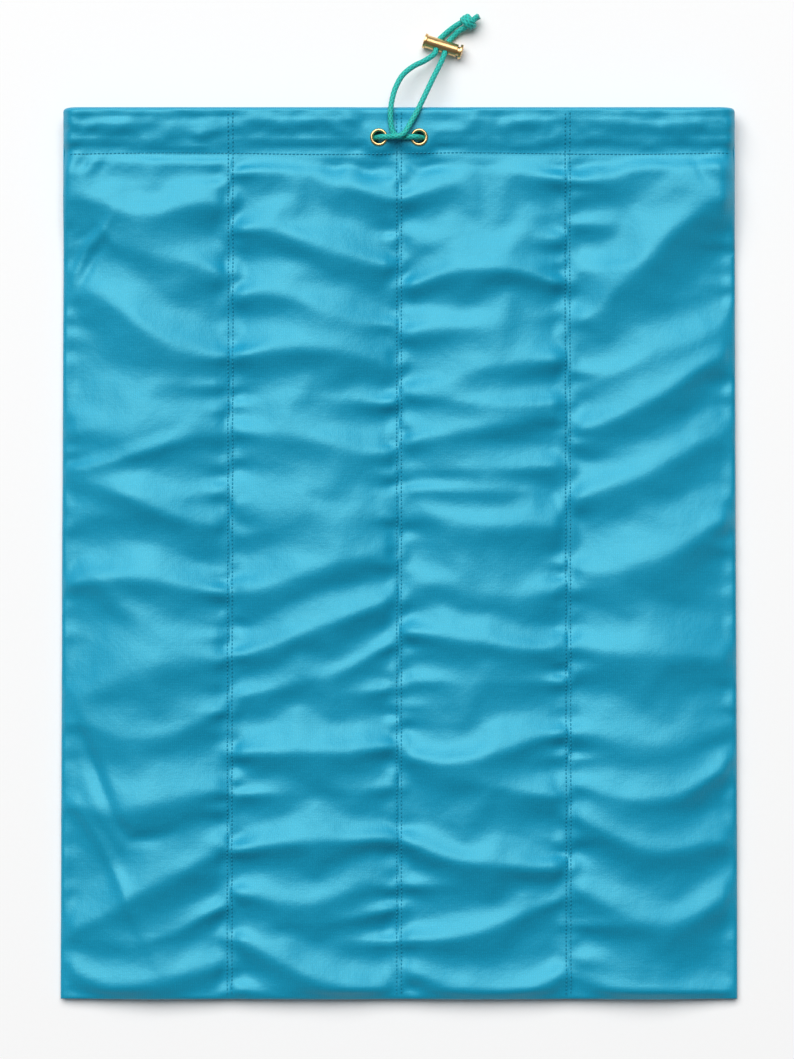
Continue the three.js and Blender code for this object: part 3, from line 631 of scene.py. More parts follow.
def arc(centre, radius, start, end, steps):
    """Points of an arc in a profile, angles in degrees."""
    angles = np.radians(np.linspace(start, end, steps + 1))
    return [(centre[0] + radius * math.cos(a), centre[1] + radius * math.sin(a)) for a in angles]


def lengths_along(points):
    """Length along a polyline at each of its points."""
    return np.concatenate([[0], np.cumsum(np.linalg.norm(np.diff(points, axis=0), axis=1))])


def even_steps(points, step):
    """Points at an even step along a polyline."""
    lengths = lengths_along(points)
    count = max(2, int(round(lengths[-1] / step)))
    places = np.linspace(0, lengths[-1], count + 1)
    return np.stack([np.interp(places, lengths, points[:, k]) for k in range(3)], axis=1)


def smooth_route(points, step):
    """Points at an even step along a centripetal curve through the given ones."""
    points = [np.array(p, float) for p in points]
    points = [2 * points[0] - points[1]] + points + [2 * points[-1] - points[-2]]
    fine = []
    for i in range(1, len(points) - 2):
        a, b, c, d = points[i - 1 : i + 3]
        gaps = [max(np.linalg.norm(q - p), 1e-9) ** 0.5 for p, q in ((a, b), (b, c), (c, d))]
        start = ((b - a) / gaps[0] - (c - a) / (gaps[0] + gaps[1]) + (c - b) / gaps[1]) * gaps[1]
        end = ((c - b) / gaps[1] - (d - b) / (gaps[1] + gaps[2]) + (d - c) / gaps[2]) * gaps[1]
        for t in np.linspace(0, 1, 24, endpoint=False):
            t2, t3 = t * t, t * t * t
            shares = (2 * t3 - 3 * t2 + 1, t3 - 2 * t2 + t, 3 * t2 - 2 * t3, t3 - t2)
            fine.append(sum(part * value for part, value in zip(shares, (b, start, c, end))))
    fine.append(points[-2])
    return even_steps(np.array(fine), step)


def cord_tube(name, routes, diameter, sides=30, plaits=5):
    """Braided cord along one or more routes of even points, with the plaits raised from its surface."""
    vertices, faces, heights = [], [], []
    radius = diameter / 2
    angles = np.linspace(0, 2 * math.pi, sides, endpoint=False)
    for route in routes:
        tangents = np.gradient(route, axis=0)
        tangents /= np.linalg.norm(tangents, axis=1)[:, None]
        normal = np.cross(tangents[0], (0.0, 0.0, 1.0))
        if np.linalg.norm(normal) < 1e-6:
            normal = np.array((1.0, 0.0, 0.0))
        first = len(vertices)
        for point, tangent, along in zip(route, tangents, lengths_along(route)):
            normal = normal - tangent * (normal @ tangent)
            normal /= np.linalg.norm(normal)
            other = np.cross(tangent, normal)
            turn = 2 * math.pi * along / PLAIT_PITCH
            over = np.maximum(np.cos(plaits * angles + turn), np.cos(plaits * angles - turn))
            raised = radius * (0.955 + 0.06 * over)
            sideways = np.outer(raised * np.cos(angles), normal)
            ring = point + sideways + np.outer(raised * np.sin(angles), other)
            vertices.extend(ring.tolist())
            # Height of the plaits, kept only to paint shade into the grooves between them and light onto
            # their tops
            heights.extend(((over + 0.2) / 1.2).clip(0, 1).tolist())
        last = first + (len(route) - 1) * sides
        for start in range(first, last, sides):
            for s in range(sides):
                a, b = start + s, start + (s + 1) % sides
                faces.append((a, b, b + sides, a + sides))
        faces.append(tuple(first + s for s in reversed(range(sides))))
        faces.append(tuple(last + s for s in range(sides)))
    piece = new_piece(name, vertices, faces)
    piece.data.attributes.new("plait_shade", "FLOAT", "POINT").data.foreach_set("value", heights)
    shade(piece, named_material("Braided elastic", elastic), 50)
    return piece


# The pouch's surface. Front is True on the front panels and False on the back ones.


def smoothstep(value, low, high):
    """0 below one limit, 1 above the other, with a soft change between."""
    t = np.clip((value - low) / (high - low), 0.0, 1.0)
    return t * t * (3 - 2 * t)


def band(value, low, full, falling, high):
    """0 outside the outer limits, 1 between the inner ones."""
    return smoothstep(value, low, full) * (1 - smoothstep(value, falling, high))


def softened(values, reach):
    """Values rounded over a number of neighbours to each side."""
    window = np.hanning(2 * reach + 3)[1:-1]
    return np.convolve(np.pad(values, reach, mode="edge"), window / window.sum(), mode="valid")


def flare(y):
    """Width of the pouch at a height up it, against its bottom."""
    return 1 - NARROWING / (2 * HALF_WIDTH) * (y + HALF_LENGTH) / (2 * HALF_LENGTH)


def cloth_section(front, step):
    """Rows of one panel from the bottom seam over the mouth's fold to the end of the hem: depth, y, rise."""
    bottom, power = BOTTOM[front], BOTTOM_TURN[front]
    fold = HEM_THICK / 2
    straight = 2 * HALF_LENGTH - fold - bottom
    rows = []
    turns = max(6, int(bottom / step))
    for i in range(turns):
        angle = math.pi / 2 * i / turns
        rise = (1 - math.cos(angle) ** power) ** (1 / power)
        rows.append((0.0, -HALF_LENGTH + bottom * (1 - math.cos(angle)), rise))
    count = int(straight / step)
    for i in range(count):
        rows.append((0.0, -HALF_LENGTH + bottom + straight * i / count, 1.0))
    for angle in np.linspace(0, math.pi, 11):
        rows.append((fold - fold * math.cos(angle), HALF_LENGTH - fold + fold * math.sin(angle), 1.0))
    for y in np.linspace(HALF_LENGTH - fold - step, STITCH_LINE + HEM_SLOPE, 8):
        rows.append((HEM_THICK, y, 1.0))
    for t in (0.34, 0.67, 1.0):
        rows.append((HEM_THICK + (HEM_LAID - HEM_THICK) * t, STITCH_LINE + HEM_SLOPE * (1 - t), 1.0))
    for y in (STITCH_LINE - 2.5 * MM, HEM_END):
        rows.append((HEM_LAID, y, 1.0))
    rows = np.array(rows)
    if front:
        rows[:, 2] *= 0.5 + 0.5 * smoothstep(rows[:, 1] + HALF_LENGTH, 0.0, FRONT_RISE)
    return rows


def outer_rows(rows):
    """Number of a panel's rows that lie on its outer face."""
    return int(np.argmax(rows[:, 0] > 1e-9))


def shoulder_height(turn, mouth, front):
    """Height left at a turn towards the side seam. The front sinks gently to half its height and then turns
    down tightly at the seam; at the mouth it turns in a half round."""
    power = 2.0 + (6.0 * (1 - mouth) if front else 0.0)
    gentle = 1 - 0.5 * (1 - mouth) * smoothstep(np.sin(turn), 0.0, 1.0) if front else 1.0
    return gentle * np.maximum(1 - np.sin(turn) ** power, 0.0) ** (1 / power)


def panel_base(index, front, step):
    """Smooth base of one panel: points (rows, columns, 3), places across before the narrowing, rows."""
    rows = cloth_section(front, step)
    columns = int(round(PITCH / step))
    depth, y, rise = rows[:, 0:1], rows[:, 1:2], rows[:, 2:3]
    mouth = smoothstep(y, BLEND_START, HEM_END)
    half = BRIM / 2
    side = 1 if front else -1
    shoulder = SHOULDER[front] + (half - SHOULDER[front]) * mouth
    seam = SEAM_HEIGHT + (half - SEAM_HEIGHT) * mouth + side * 0.02 * MM
    outer = FACE_HEIGHT + (BRIM - FACE_HEIGHT) * mouth if front else np.zeros_like(y)
    face = outer - side * depth
    left = index * PITCH - HALF_WIDTH
    share = np.linspace(0, 1, columns + 1)
    turn = np.zeros((len(rows), columns + 1))
    x = np.repeat(left + PITCH * share[None, :], len(rows), axis=0)
    if index in (0, PANELS - 1):
        sign = -1 if index == 0 else 1
        fine = np.linspace(0, 2, 161)[None, :]
        fine_turn = np.clip(fine - 1, 0, 1) * math.pi / 2
        turn_start = HALF_WIDTH - shoulder
        inner = HALF_WIDTH - PITCH
        flat_x = inner + (turn_start - inner) * fine
        fine_x = np.where(fine <= 1, flat_x, turn_start + (shoulder - depth) * np.sin(fine_turn))
        fine_z = seam + (face - seam) * shoulder_height(fine_turn, mouth, front)
        lengths = np.cumsum(np.hypot(np.diff(fine_x, axis=1), np.diff(fine_z, axis=1)), axis=1)
        lengths = np.concatenate([np.zeros((len(rows), 1)), lengths], axis=1)
        wanted = share if sign > 0 else 1 - share
        for r in range(len(rows)):
            place = wanted * lengths[r, -1]
            x[r] = sign * np.interp(place, lengths[r], fine_x[r])
            turn[r] = np.interp(place, lengths[r], fine_turn[0])
    across = np.clip((x - left) / PITCH, 0, 1)
    puff = CROWN * (1 - mouth) * np.sin(math.pi * across) if front else 0.0
    z = seam + ((face - seam) * shoulder_height(turn, mouth, front) + puff) * rise
    points = np.stack([x * flare(y), np.repeat(y, columns + 1, axis=1), z], axis=2)
    return points, x, rows


def crest_place(fold, across):
    """Height up the pouch of one fold's crest at places across its panel."""
    columns = (-0.1,) + FOLD_COLUMNS + (1.1,)
    places = (fold[0],) + fold[:5] + (fold[4],)
    fine = np.linspace(-0.1, 1.1, 61)
    return np.interp(across, fine, softened(np.interp(fine, columns, places), 12)) * MM


def fold_height(folds, across, y):
    """Height of one panel's folds. Each has a rounded crest, falls steeply from it towards the mouth, less
    steeply towards the bottom, runs out flat on both sides and narrows towards the seams."""
    height = np.zeros_like(y)
    narrowing = 0.5 + 0.5 * np.sin(math.pi * np.clip(across, 0.0, 1.0)) ** 0.7
    from_left, from_middle = smoothstep(across, 0.0, 0.5), smoothstep(across, 0.5, 1.0)
    for fold in folds:
        width = fold[5] * MM * narrowing
        left, middle, right = (drop * MM for drop in fold[6:])
        drop = left + (middle - left) * from_left + (right - middle) * from_middle
        above = y - crest_place(fold, across)
        rounding = CREST_ROUNDING * width
        away = np.sqrt(above**2 + rounding**2) - rounding
        runout = np.where(above > 0, BANK_RUNOUT, BACK_RUNOUT) * width
        curve = np.where(above > 0, BANK_CURVE, BACK_CURVE)
        height += drop * (1 - np.clip(away / runout, 0.0, 1.0)) ** curve
    return height - FOLD_LEVEL * height.mean()


def crease_height(creases, x, y):
    """Height of the sharper creases at places on the front. Each fades out at both ends."""
    height = np.zeros_like(x)
    for corners, width, proud in creases:
        route = np.array(corners, float) * MM
        lengths = lengths_along(route)
        nearest = np.full_like(x, 1.0)
        along = np.zeros_like(x)
        for a, b, before, after in zip(route, route[1:], lengths, lengths[1:]):
            span = b - a
            t = np.clip(((x - a[0]) * span[0] + (y - a[1]) * span[1]) / (span @ span), 0, 1)
            away = np.hypot(x - a[0] - t * span[0], y - a[1] - t * span[1])
            along = np.where(away < nearest, before + (after - before) * t, along)
            nearest = np.minimum(nearest, away)
        fade = np.sin(math.pi * np.clip(along / lengths[-1], 0.04, 0.96)) ** 0.6
        height += proud * MM * fade * np.exp(-((nearest / (width * MM)) ** 2))
    return height


def pucker_line(seed, step):
    """Irregular up-and-down along a seam: places and heights of its puckers."""
    rng = np.random.default_rng(seed)
    places, heights, at, sign = [], [], -HALF_LENGTH - 10 * MM, 1
    while at < HALF_LENGTH + 10 * MM:
        places.append(at)
        heights.append(sign * rng.uniform(0.05, 1.0) ** 1.6)
        at += step * rng.uniform(0.6, 1.5)
        sign = -sign
    return np.array(places), np.array(heights)


def puckers(seed, y, distance):
    """Small gathers that run out from a stitched seam into the panel, 2 to 4 mm far."""
    places, heights = pucker_line(seed, PUCKER_PITCH)
    k = np.clip(np.searchsorted(places, y) - 1, 0, len(places) - 2)
    t = np.clip((y - places[k]) / (places[k + 1] - places[k]), 0, 1)
    wave = heights[k] + (heights[k + 1] - heights[k]) * (1 - np.cos(math.pi * t)) / 2
    reach = np.interp(y, *pucker_line(seed + 50, REACH_PITCH)) * REACH_CHANGE + REACH_MEAN
    near = np.maximum(distance, 0) / reach
    return PUCKER_HEIGHT * wave * near * np.exp(1 - near)


def eyelet_clear(x, y):
    """0 where an eyelet holds the cloth flat, 1 away from it."""
    eyelet = np.hypot(np.abs(x) - EYELET_X, y - CORD_LINE)
    return smoothstep(eyelet, EYELET_FLAT, EYELET_FREE)


def casing_height(x, y):
    """Height of the casing: pinched at its stitching, rolled over the cord and falling off to the mouth's
    fold. It lies flat under the eyelets."""
    places, heights = np.array(CASING_SECTION).T * MM
    fine = np.linspace(places[0], places[-1], 181)
    section = softened(np.interp(fine, places, heights), 5)
    clear = np.where(y > STITCH_LINE, eyelet_clear(x, y), 1.0)
    inside = band(y, *CASING_SWOLLEN)
    drift = 1.2 * MM * np.sin(x / (19 * MM) + 1.3) + 0.7 * MM * np.sin(x / (8.3 * MM) + 0.4)
    swell = 1 + inside * (0.3 * np.sin(x / (26 * MM) + 2.0) + 0.2 * np.sin(x / (11 * MM)))
    return np.interp(y + drift * inside, fine, section) * clear * swell


def front_relief(index, x, y):
    """How far the front cloth stands off its smooth base."""
    left = index * PITCH - HALF_WIDTH
    across = np.clip((x - left) / PITCH, 0, 1)
    hold = np.ones_like(x)
    shared = np.zeros_like(x)
    gathers = np.zeros_like(x)
    for seam, distance, seed in ((index, x - left, 1), (index + 1, left + PITCH - x, 2)):
        at_side = seam in (0, PANELS)
        free = smoothstep(distance, SEAM_HELD, SEAM_FREE)
        hold = hold * free
        if not at_side:
            # Both panels' folds carry a little way across the seam that joins them
            ends = fold_height(FRONT_FOLDS[seam - 1], np.ones_like(y), y)
            ends = ends + fold_height(FRONT_FOLDS[seam], np.zeros_like(y), y)
            shared = shared + SHARED_FOLDS * ends * (1 - free)
        size = SIDE_PUCKERS if at_side else 1.0
        gathers = gathers + size * puckers(seam * 7 + seed, y, distance)
    below = smoothstep(STITCH_LINE - y, 0.5 * MM, 6 * MM) * smoothstep(y + HALF_LENGTH, 0.5 * MM, 5 * MM)
    folds = fold_height(FRONT_FOLDS[index], across, y) + crease_height(FRONT_CREASES, x, y)
    relief = (folds * hold + shared + gathers) * below * sizes().fold_height
    in_casing = CASING_PUCKERS * gathers * band(y, *CASING_PUCKERED)
    crumples = crease_height(CASING_CREASES, x, y) * smoothstep(HALF_WIDTH - np.abs(x), 0.5 * MM, 6 * MM)
    relief = relief + (in_casing + crumples) * eyelet_clear(x, y)
    return relief + casing_height(x, y)


def soft_noise(points, scale, seed):
    """Gentle random height at the given points."""
    offset = Vector((seed * 3.7, seed * 1.3, seed * 7.1))
    values = [noise.noise(Vector(p) / scale + offset) for p in points.reshape(-1, 3)]
    return np.array(values).reshape(points.shape[:2])


def front_offset(index, points, x, y, depth):
    """How far a front panel's outer face and the hem inside it stand off their smooth base."""
    relief = front_relief(index, x, y)
    casing = band(y, *CASING_MOTTLED)
    drawn_out = points * np.array((0.6, 1.0, 1.0))
    mottle = 1.5 * soft_noise(drawn_out, 9 * MM, 3) + 0.6 * soft_noise(points, 5 * MM, 8)
    relief = relief + MM * casing * eyelet_clear(x, y) * mottle
    # The casing stays above its cord, like a tent over it
    over_cord = BRIM - CORD_DEPTH + sizes().cord_diameter / 2 + CLOTH + TENT_CLEARANCE - points[:, :, 2]
    beside = np.abs(y - CORD_LINE)
    tent = np.minimum(over_cord, 0.0) - TENT_SLOPE * np.maximum(beside - TENT_TOP, 0.0)
    relief = np.where(beside < TENT_REACH, np.maximum(relief, tent), relief)
    relief = relief + 0.35 * MM * smoothstep(STITCH_LINE - y, 0, 6 * MM) * soft_noise(points, 11 * MM, 5)
    # It lies low where the lock passes over the mouth, and dips behind the eyelets
    low = 1 - smoothstep(np.abs(x - LOCK_PASS), PASS_LOW, PASS_FREE)
    gathered = 0.7 + 0.3 * np.cos(x / (3.1 * MM))
    dip = DIP_DEPTH * band(y, *DIP_PLACE) * gathered
    lowered = low * (np.maximum(relief - LOW_HEIGHT, 0.0) + dip)
    relief = relief - np.where(y > LOW_ABOVE, lowered, 0.0)
    # The mouth's fold rolls over from its rim, down and back up to the hem
    rim = ROLL_RIM * (1 - low)
    rolled = rim + (-ROLL_DOWN - rim) * np.clip(2 * depth / HEM_THICK, 0, 1)
    rolled = rolled + ROLL_BACK * np.clip(2 * depth / HEM_THICK - 1, 0, 1)
    hem = casing_height(x, y) * (1 - smoothstep(y, STITCH_LINE, STITCH_LINE + HEM_SLOPE))
    hem = hem + rolled * smoothstep(y, ROLL_START, ROLL_FULL)
    return np.where(depth <= 1e-9, relief, hem)


def back_offset(index, points, x, y, depth):
    """How far a back panel stands off the floor: slight waves, gathered at its seams."""
    to_left = x - (index * PITCH - HALF_WIDTH)
    to_right = PITCH - to_left
    gathers = puckers(index * 5 + 100, y, to_left) + puckers(index * 5 + 103, y, to_right)
    waves = BACK_WAVES * soft_noise(points * np.array((0.5, 1.0, 1.0)), 17 * MM, 9 + index)
    held = smoothstep(np.minimum(to_left, to_right), 0.5 * MM, 9 * MM)
    held = held * smoothstep(y + HALF_LENGTH, 2 * MM, 20 * MM) * smoothstep(STITCH_LINE - y, 0.5 * MM, 9 * MM)
    relief = np.maximum(waves * held + gathers * held + 0.1 * MM, 0.0) + BACK_LIFT
    return np.where(depth <= 1e-9, relief, 0.0)


# Points, places across and rows of each panel as last made, which the stitching follows
cloth_grids = {}


def panel_points(index, front):
    """Points of one panel's outer face and hem, with its folds."""
    points, x, rows = panel_base(index, front, sizes().grid)
    y = np.repeat(rows[:, 1:2], points.shape[1], axis=1)
    offset = front_offset if front else back_offset
    points[:, :, 2] += offset(index, points, x, y, rows[:, 0:1])
    return points, x, rows


def settle(points, rows, to_side):
    """Lets one front panel settle by simulation. It is cut a little larger than the seams that hold it, so
    the spare cloth gathers along the folds it was laid in and puckers at the stitching."""
    last = int(np.argmax(rows[:, 1] > STITCH_LINE))
    laid = points[:last].copy()
    ids = np.arange(laid.shape[0] * laid.shape[1]).reshape(laid.shape[:2])
    faces = np.stack([ids[:-1, :-1], ids[:-1, 1:], ids[1:, 1:], ids[1:, :-1]], axis=2).reshape(-1, 4)
    cloth = new_piece("settling_cloth", (laid.reshape(-1, 3) * SETTLE_SCALE).tolist(), faces.tolist())
    sewn = np.zeros(ids.shape, bool)
    sewn[:, :1] = sewn[:, -1:] = True
    sewn[:2] = sewn[-2:] = True
    pins = cloth.vertex_groups.new(name="sewn")
    pins.add([int(i) for i in ids[sewn]], 1.0, "REPLACE")
    pins.add([int(i) for i in ids[~sewn]], 0.02, "REPLACE")
    y = laid[:, :, 1]
    slack = smoothstep(y, -HALF_LENGTH + 2 * MM, -HALF_LENGTH + 18 * MM)
    slack = slack * smoothstep(-y, -STITCH_LINE, -STITCH_LINE + 9 * MM)
    slack = slack * smoothstep(to_side[:last], 0.0, 12 * MM)
    tight = cloth.vertex_groups.new(name="tight")
    for i, weight in zip(ids.reshape(-1), (1 - slack).reshape(-1)):
        tight.add([int(i)], float(weight), "REPLACE")
    modifier = cloth.modifiers.new("Cloth", "CLOTH")
    settings = modifier.settings
    settings.quality = 6
    settings.tension_stiffness = settings.compression_stiffness = 40.0
    settings.shear_stiffness = 10.0
    settings.bending_stiffness = 20.0
    settings.shrink_min = -0.003
    settings.shrink_max = 0.0
    settings.vertex_group_shrink = "tight"
    settings.vertex_group_mass = "sewn"
    settings.effector_weights.gravity = 0.0
    modifier.collision_settings.use_collision = False
    modifier.point_cache.frame_start = 1
    modifier.point_cache.frame_end = SETTLE_FRAMES
    scene = bpy.context.scene
    for f in range(1, SETTLE_FRAMES + 1):
        scene.frame_set(f)
    settled = cloth.evaluated_get(bpy.context.evaluated_depsgraph_get())
    moved = np.zeros(laid.size, np.float32)
    settled.data.vertices.foreach_get("co", moved)
    shift = moved.reshape(laid.shape) / SETTLE_SCALE - laid
    far = np.linalg.norm(shift, axis=2)[:, :, None]
    points[:last] = laid + shift * np.minimum(1.0, SETTLE_LIMIT / np.maximum(far, 1e-9))
    scene.frame_set(1)
    bpy.data.objects.remove(cloth)


def sheet_mesh(name, points, x, front):
    """A panel's mesh from its grid, with a UV map in metres, given its thickness inward."""
    clear_selection()
    rows, columns = points.shape[:2]
    bpy.ops.mesh.primitive_grid_add(x_subdivisions=columns - 1, y_subdivisions=rows - 1, size=1)
    piece = bpy.context.object
    piece.name = piece.data.name = name
    mesh = piece.data
    if len(mesh.vertices) != rows * columns:
        raise RuntimeError(f"{name}: the grid has {len(mesh.vertices)} points")
    mesh.vertices.foreach_set("co", points.reshape(-1).astype(np.float32))
    # Across, the map follows a row clear of the bottom's turn; along, the panel's middle.
    across = np.repeat(x[min(40, rows - 1)][None, :], rows, axis=0)
    along = np.repeat(lengths_along(points[:, columns // 2])[:, None], columns, axis=1)
    flat = np.stack([across, along], axis=2).reshape(-1, 2)
    while mesh.uv_layers:
        mesh.uv_layers.remove(mesh.uv_layers[0])
    layer = mesh.uv_layers.new(name="cloth")
    corners = np.zeros(len(mesh.loops), int)
    mesh.loops.foreach_get("vertex_index", corners)
    layer.data.foreach_set("uv", flat[corners].reshape(-1).astype(np.float32))
    mesh.update()
    if not front:
        make_active(piece)
        bpy.ops.object.mode_set(mode="EDIT")
        bpy.ops.mesh.select_all(action="SELECT")
        bpy.ops.mesh.flip_normals()
        bpy.ops.object.mode_set(mode="OBJECT")
    apply_modifier(piece, "SOLIDIFY", thickness=CLOTH, offset=-1.0)
    return piece


def surface_place(front, x, y):
    """Point of the outer cloth at a place across and along the pouch, and its directions along and across."""
    index = min(PANELS - 1, max(0, int((x + HALF_WIDTH) / PITCH)))
    points, places, rows = cloth_grids[front, index]
    last = outer_rows(rows)
    row = np.interp(y, rows[:last, 1], np.arange(last))
    low = min(int(row), last - 2)
    column = np.interp(x, places[low], np.arange(places.shape[1]))
    left = min(int(column), places.shape[1] - 2)
    t, s = row - low, column - left
    corner = points[low : low + 2, left : left + 2]
    near = corner[0] * (1 - t) + corner[1] * t
    here = near[0] * (1 - s) + near[1] * s
    along = (corner[1] - corner[0]).mean(axis=0)
    across = (corner[:, 1] - corner[:, 0]).mean(axis=0)
    return here, along / np.linalg.norm(along), across / np.linalg.norm(across)


# The cord's route


def eyelet_bend(sign, above):
    """Cord's bend through an eyelet, from the throat outward."""
    height = BEND_HIGH - BEND_LOW
    reach = math.sqrt(height * BEND_RADIUS - height * height / 4)
    start = math.acos(1 - height / (2 * BEND_RADIUS))
    points = []
    for angle in np.linspace(start, 0, 7):
        out = reach - BEND_RADIUS * math.sin(angle)
        climb = BEND_RADIUS * (1 - math.cos(angle))
        x = EYELET_X + (-out if above else out)
        points.append((sign * x, CORD_LINE, BEND_HIGH - climb if above else BEND_LOW + climb))
    return points


def past_mouth(points, lift=0.0):
    """Points given in mm as across, past the mouth's edge, and height."""
    return [(x * MM, HALF_LENGTH + y * MM, z * MM + lift) for x, y, z in points]


def lock_point(x, y):
    """Place of a point of the lock, given along its barrel and along its cord holes."""
    return LOCK_PLACE @ Vector((x, y, 0.0))


def knot_point(x, y, z=0.0):
    """Place of a point of the knot, given in mm along the cord, across it and up."""
    return KNOT_PLACE @ Vector((x * MM, y * MM, z * MM))


# Operators


class POUCH_OT_stage(bpy.types.Operator):
    """White paper sweep, soft studio light and the camera straight above"""

    bl_idname = "pouch.stage"
    bl_label = "Stage"

    def execute(self, context):
        clear_selection()
        bpy.ops.mesh.primitive_plane_add(size=60.0, location=(0, 0, 0))
        floor = context.object
        floor.name = "paper_floor"
        floor.data.materials.append(named_material("White paper", white_paper))
        clear_selection()
        aim = (-Vector(KEY_PLACE)).to_track_quat("-Z", "Y").to_euler()
        bpy.ops.object.light_add(type="AREA", location=KEY_PLACE, rotation=aim)
        softbox = context.object
        softbox.name = "key_softbox"
        softbox.data.shape = "RECTANGLE"
        softbox.data.size, softbox.data.size_y = KEY_SIZE
        softbox.data.energy = KEY_POWER
        world = bpy.data.worlds.new("Studio")
        world.use_nodes = True
        world.node_tree.nodes.clear()
        tree = world.node_tree
        back = add_node(tree, "ShaderNodeBackground", {"Color": (1, 1, 1, 1), "Strength": ROUND_LIGHT})
        add_node(tree, "ShaderNodeOutputWorld", links={"Surface": back.outputs[0]})
        context.scene.world = world
        clear_selection()
        # The picture's scale is true 5 mm above the floor.
        distance = PHOTO_LENGTH * LENS / SENSOR
        bpy.ops.object.camera_add(location=(*PHOTO_CENTRE, distance + 5 * MM), rotation=(0, 0, 0))
        camera = context.object
        camera.name = "overhead_camera"
        camera.data.sensor_fit = "VERTICAL"
        camera.data.sensor_height = SENSOR
        camera.data.lens = LENS
        camera.data.dof.use_dof = False
        context.scene.camera = camera
        context.scene.view_settings.view_transform = "Standard"
        return {"FINISHED"}


class POUCH_OT_cord(bpy.types.Operator):
    """Elastic cord: the run in the casing, the strands to the lock and past it, and the knot"""

    bl_idname = "pouch.cord"
    bl_label = "Elastic cord"

    def execute(self, context):
        diameter = sizes().cord_diameter
        hidden = cord_tube("cord_in_casing", [even_steps(self.casing_route(), 1.5 * MM)], diameter, 14, 3)
        dress(hidden, "pouch", "cord", "drawcord_in_casing")
        knot = self.knot(diameter)
        for side, hole, entry in (("left", -LOCK_HOLE, 1.4), ("right", LOCK_HOLE, -1.4)):
            bend = eyelet_bend(1 if side == "left" else -1, True)
            points = bend[-1:] + past_mouth(ON_POUCH[side], BRIM) + past_mouth(ON_FLOOR[side])
            points += [lock_point(hole, y) for y in (-5.0 * MM, -2.9 * MM, 0.0)]
            free = smooth_route(points, CORD_STEP)
            route = even_steps(np.concatenate([np.array(bend[:-1]), free]), CORD_STEP)
            lower = cord_tube(f"{side}_cord_lower", [route], diameter)
            points = [lock_point(hole, y) for y in (0.0, 2.9 * MM)] + past_mouth(PAST_LOCK[side])
            points += [knot_point(x, entry) for x in (-5.7, -3.2)]
            upper = cord_tube(f"{side}_cord_upper", [smooth_route(points, CORD_STEP)], diameter)
            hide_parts(f"{side}_strand_lower")
            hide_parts(f"{side}_strand_upper")
            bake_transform(lower)
            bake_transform(upper)
        return {"FINISHED"}

    def casing_route(self):
        """Route inside the casing from the left eyelet round the mouth to the right one."""
        half = BRIM / 2
        turn_start = HALF_WIDTH - half
        bend = half - CORD_DEPTH
        near = flare(CORD_LINE)
        right = eyelet_bend(1, False)
        for x in np.linspace(30 * MM, turn_start, 6):
            right.append((x * near, CORD_LINE, BRIM - CORD_DEPTH))
        for angle in np.linspace(0, math.pi, 13)[1:]:
            x = turn_start + bend * math.sin(angle)
            right.append((x * near, CORD_LINE, half + bend * math.cos(angle)))
        right = np.array(right)
        return np.concatenate([right * (-1, 1, 1), right[::-1]])

    def knot(self, diameter):
        """Overhand knot: one end wraps twice round the other, and both leave as short tails."""
        wrap = [(-3.2, 1.4, 0.0), (-2.2, 1.7, 0.1)]
        for t in np.linspace(0, 1, 60):
            angle = math.pi / 2 - 2 * math.pi * KNOT_TURNS * t
            swell = KNOT_RADIUS + KNOT_SWELL * math.sin(math.pi * t)
            along = -1.5 + 3.0 * t
            y, z = swell * math.sin(angle), swell * math.cos(angle)
            wrap.append((along - math.sin(KNOT_LEAN) * y, math.cos(KNOT_LEAN) * y, z))
        wrap += [(2.4, -0.6, 1.2), (3.6, 0.0, 1.1), (5.2, 0.1, 1.1)]
        core = [
            (-3.2, -1.4, 0.0), (-1.8, -1.2, 0.0), (0.0, -0.4, -0.4), (2.0, 0.0, -1.0), (3.6, 0.0, -1.1),
            (5.2, -0.1, -1.1),
        ]
        routes = [smooth_route([knot_point(*p) for p in line], CORD_STEP) for line in (wrap, core)]
        piece = cord_tube("overhand_knot", routes, diameter)
        dress(piece, "cord_end", "cord", "cord_knot")
        return piece


class POUCH_OT_satin(bpy.types.Operator):
    """Four front and four back panels of satin with their folds and hemmed casing"""

    bl_idname = "pouch.satin"
    bl_label = "Satin panels"

    def execute(self, context):
        for front in (True, False):
            for index in range(PANELS):
                cloth_grids[front, index] = panel_points(index, front)
        for index in range(PANELS):
            points, x, rows = cloth_grids[True, index]
            settle(points, rows, HALF_WIDTH - np.abs(x))
            self.tuck(points, rows)
        for front in (False, True):
            word = "front" if front else "back"
            for index in range(PANELS):
                points, x, rows = cloth_grids[front, index]
                piece = sheet_mesh(f"satin_{word}_{index + 1}", points, x, front)
                if front and index in (1, 2):
                    self.punch(piece, -EYELET_X if index == 1 else EYELET_X)
                shade(piece, named_material("Polyester satin", satin), 60)
                dress(piece, "pouch", "satin", f"{word}_panel_{index + 1}")
        return {"FINISHED"}

    def tuck(self, points, rows):
        """Lays the turned end of the hem against the inside of the outer cloth."""
        outer = outer_rows(rows)
        for r in np.flatnonzero((rows[:, 0] > 1e-9) & (rows[:, 1] <= STITCH_LINE + 0.01 * MM)):
            for c in range(points.shape[1]):
                place, height = points[:outer, c, 1], points[:outer, c, 2]
                points[r, c, 2] = np.interp(points[r, c, 1], place, height) - rows[r, 0]

    def punch(self, piece, x):
        """Cuts the eyelet's hole through the outer layer."""
        clear_selection()
        bpy.ops.mesh.primitive_cylinder_add(
            vertices=48, radius=EYELET_HOLE, depth=2.4 * MM, location=(x, CORD_LINE, BRIM - 0.2 * MM)
        )
        cut(piece, bpy.context.object)


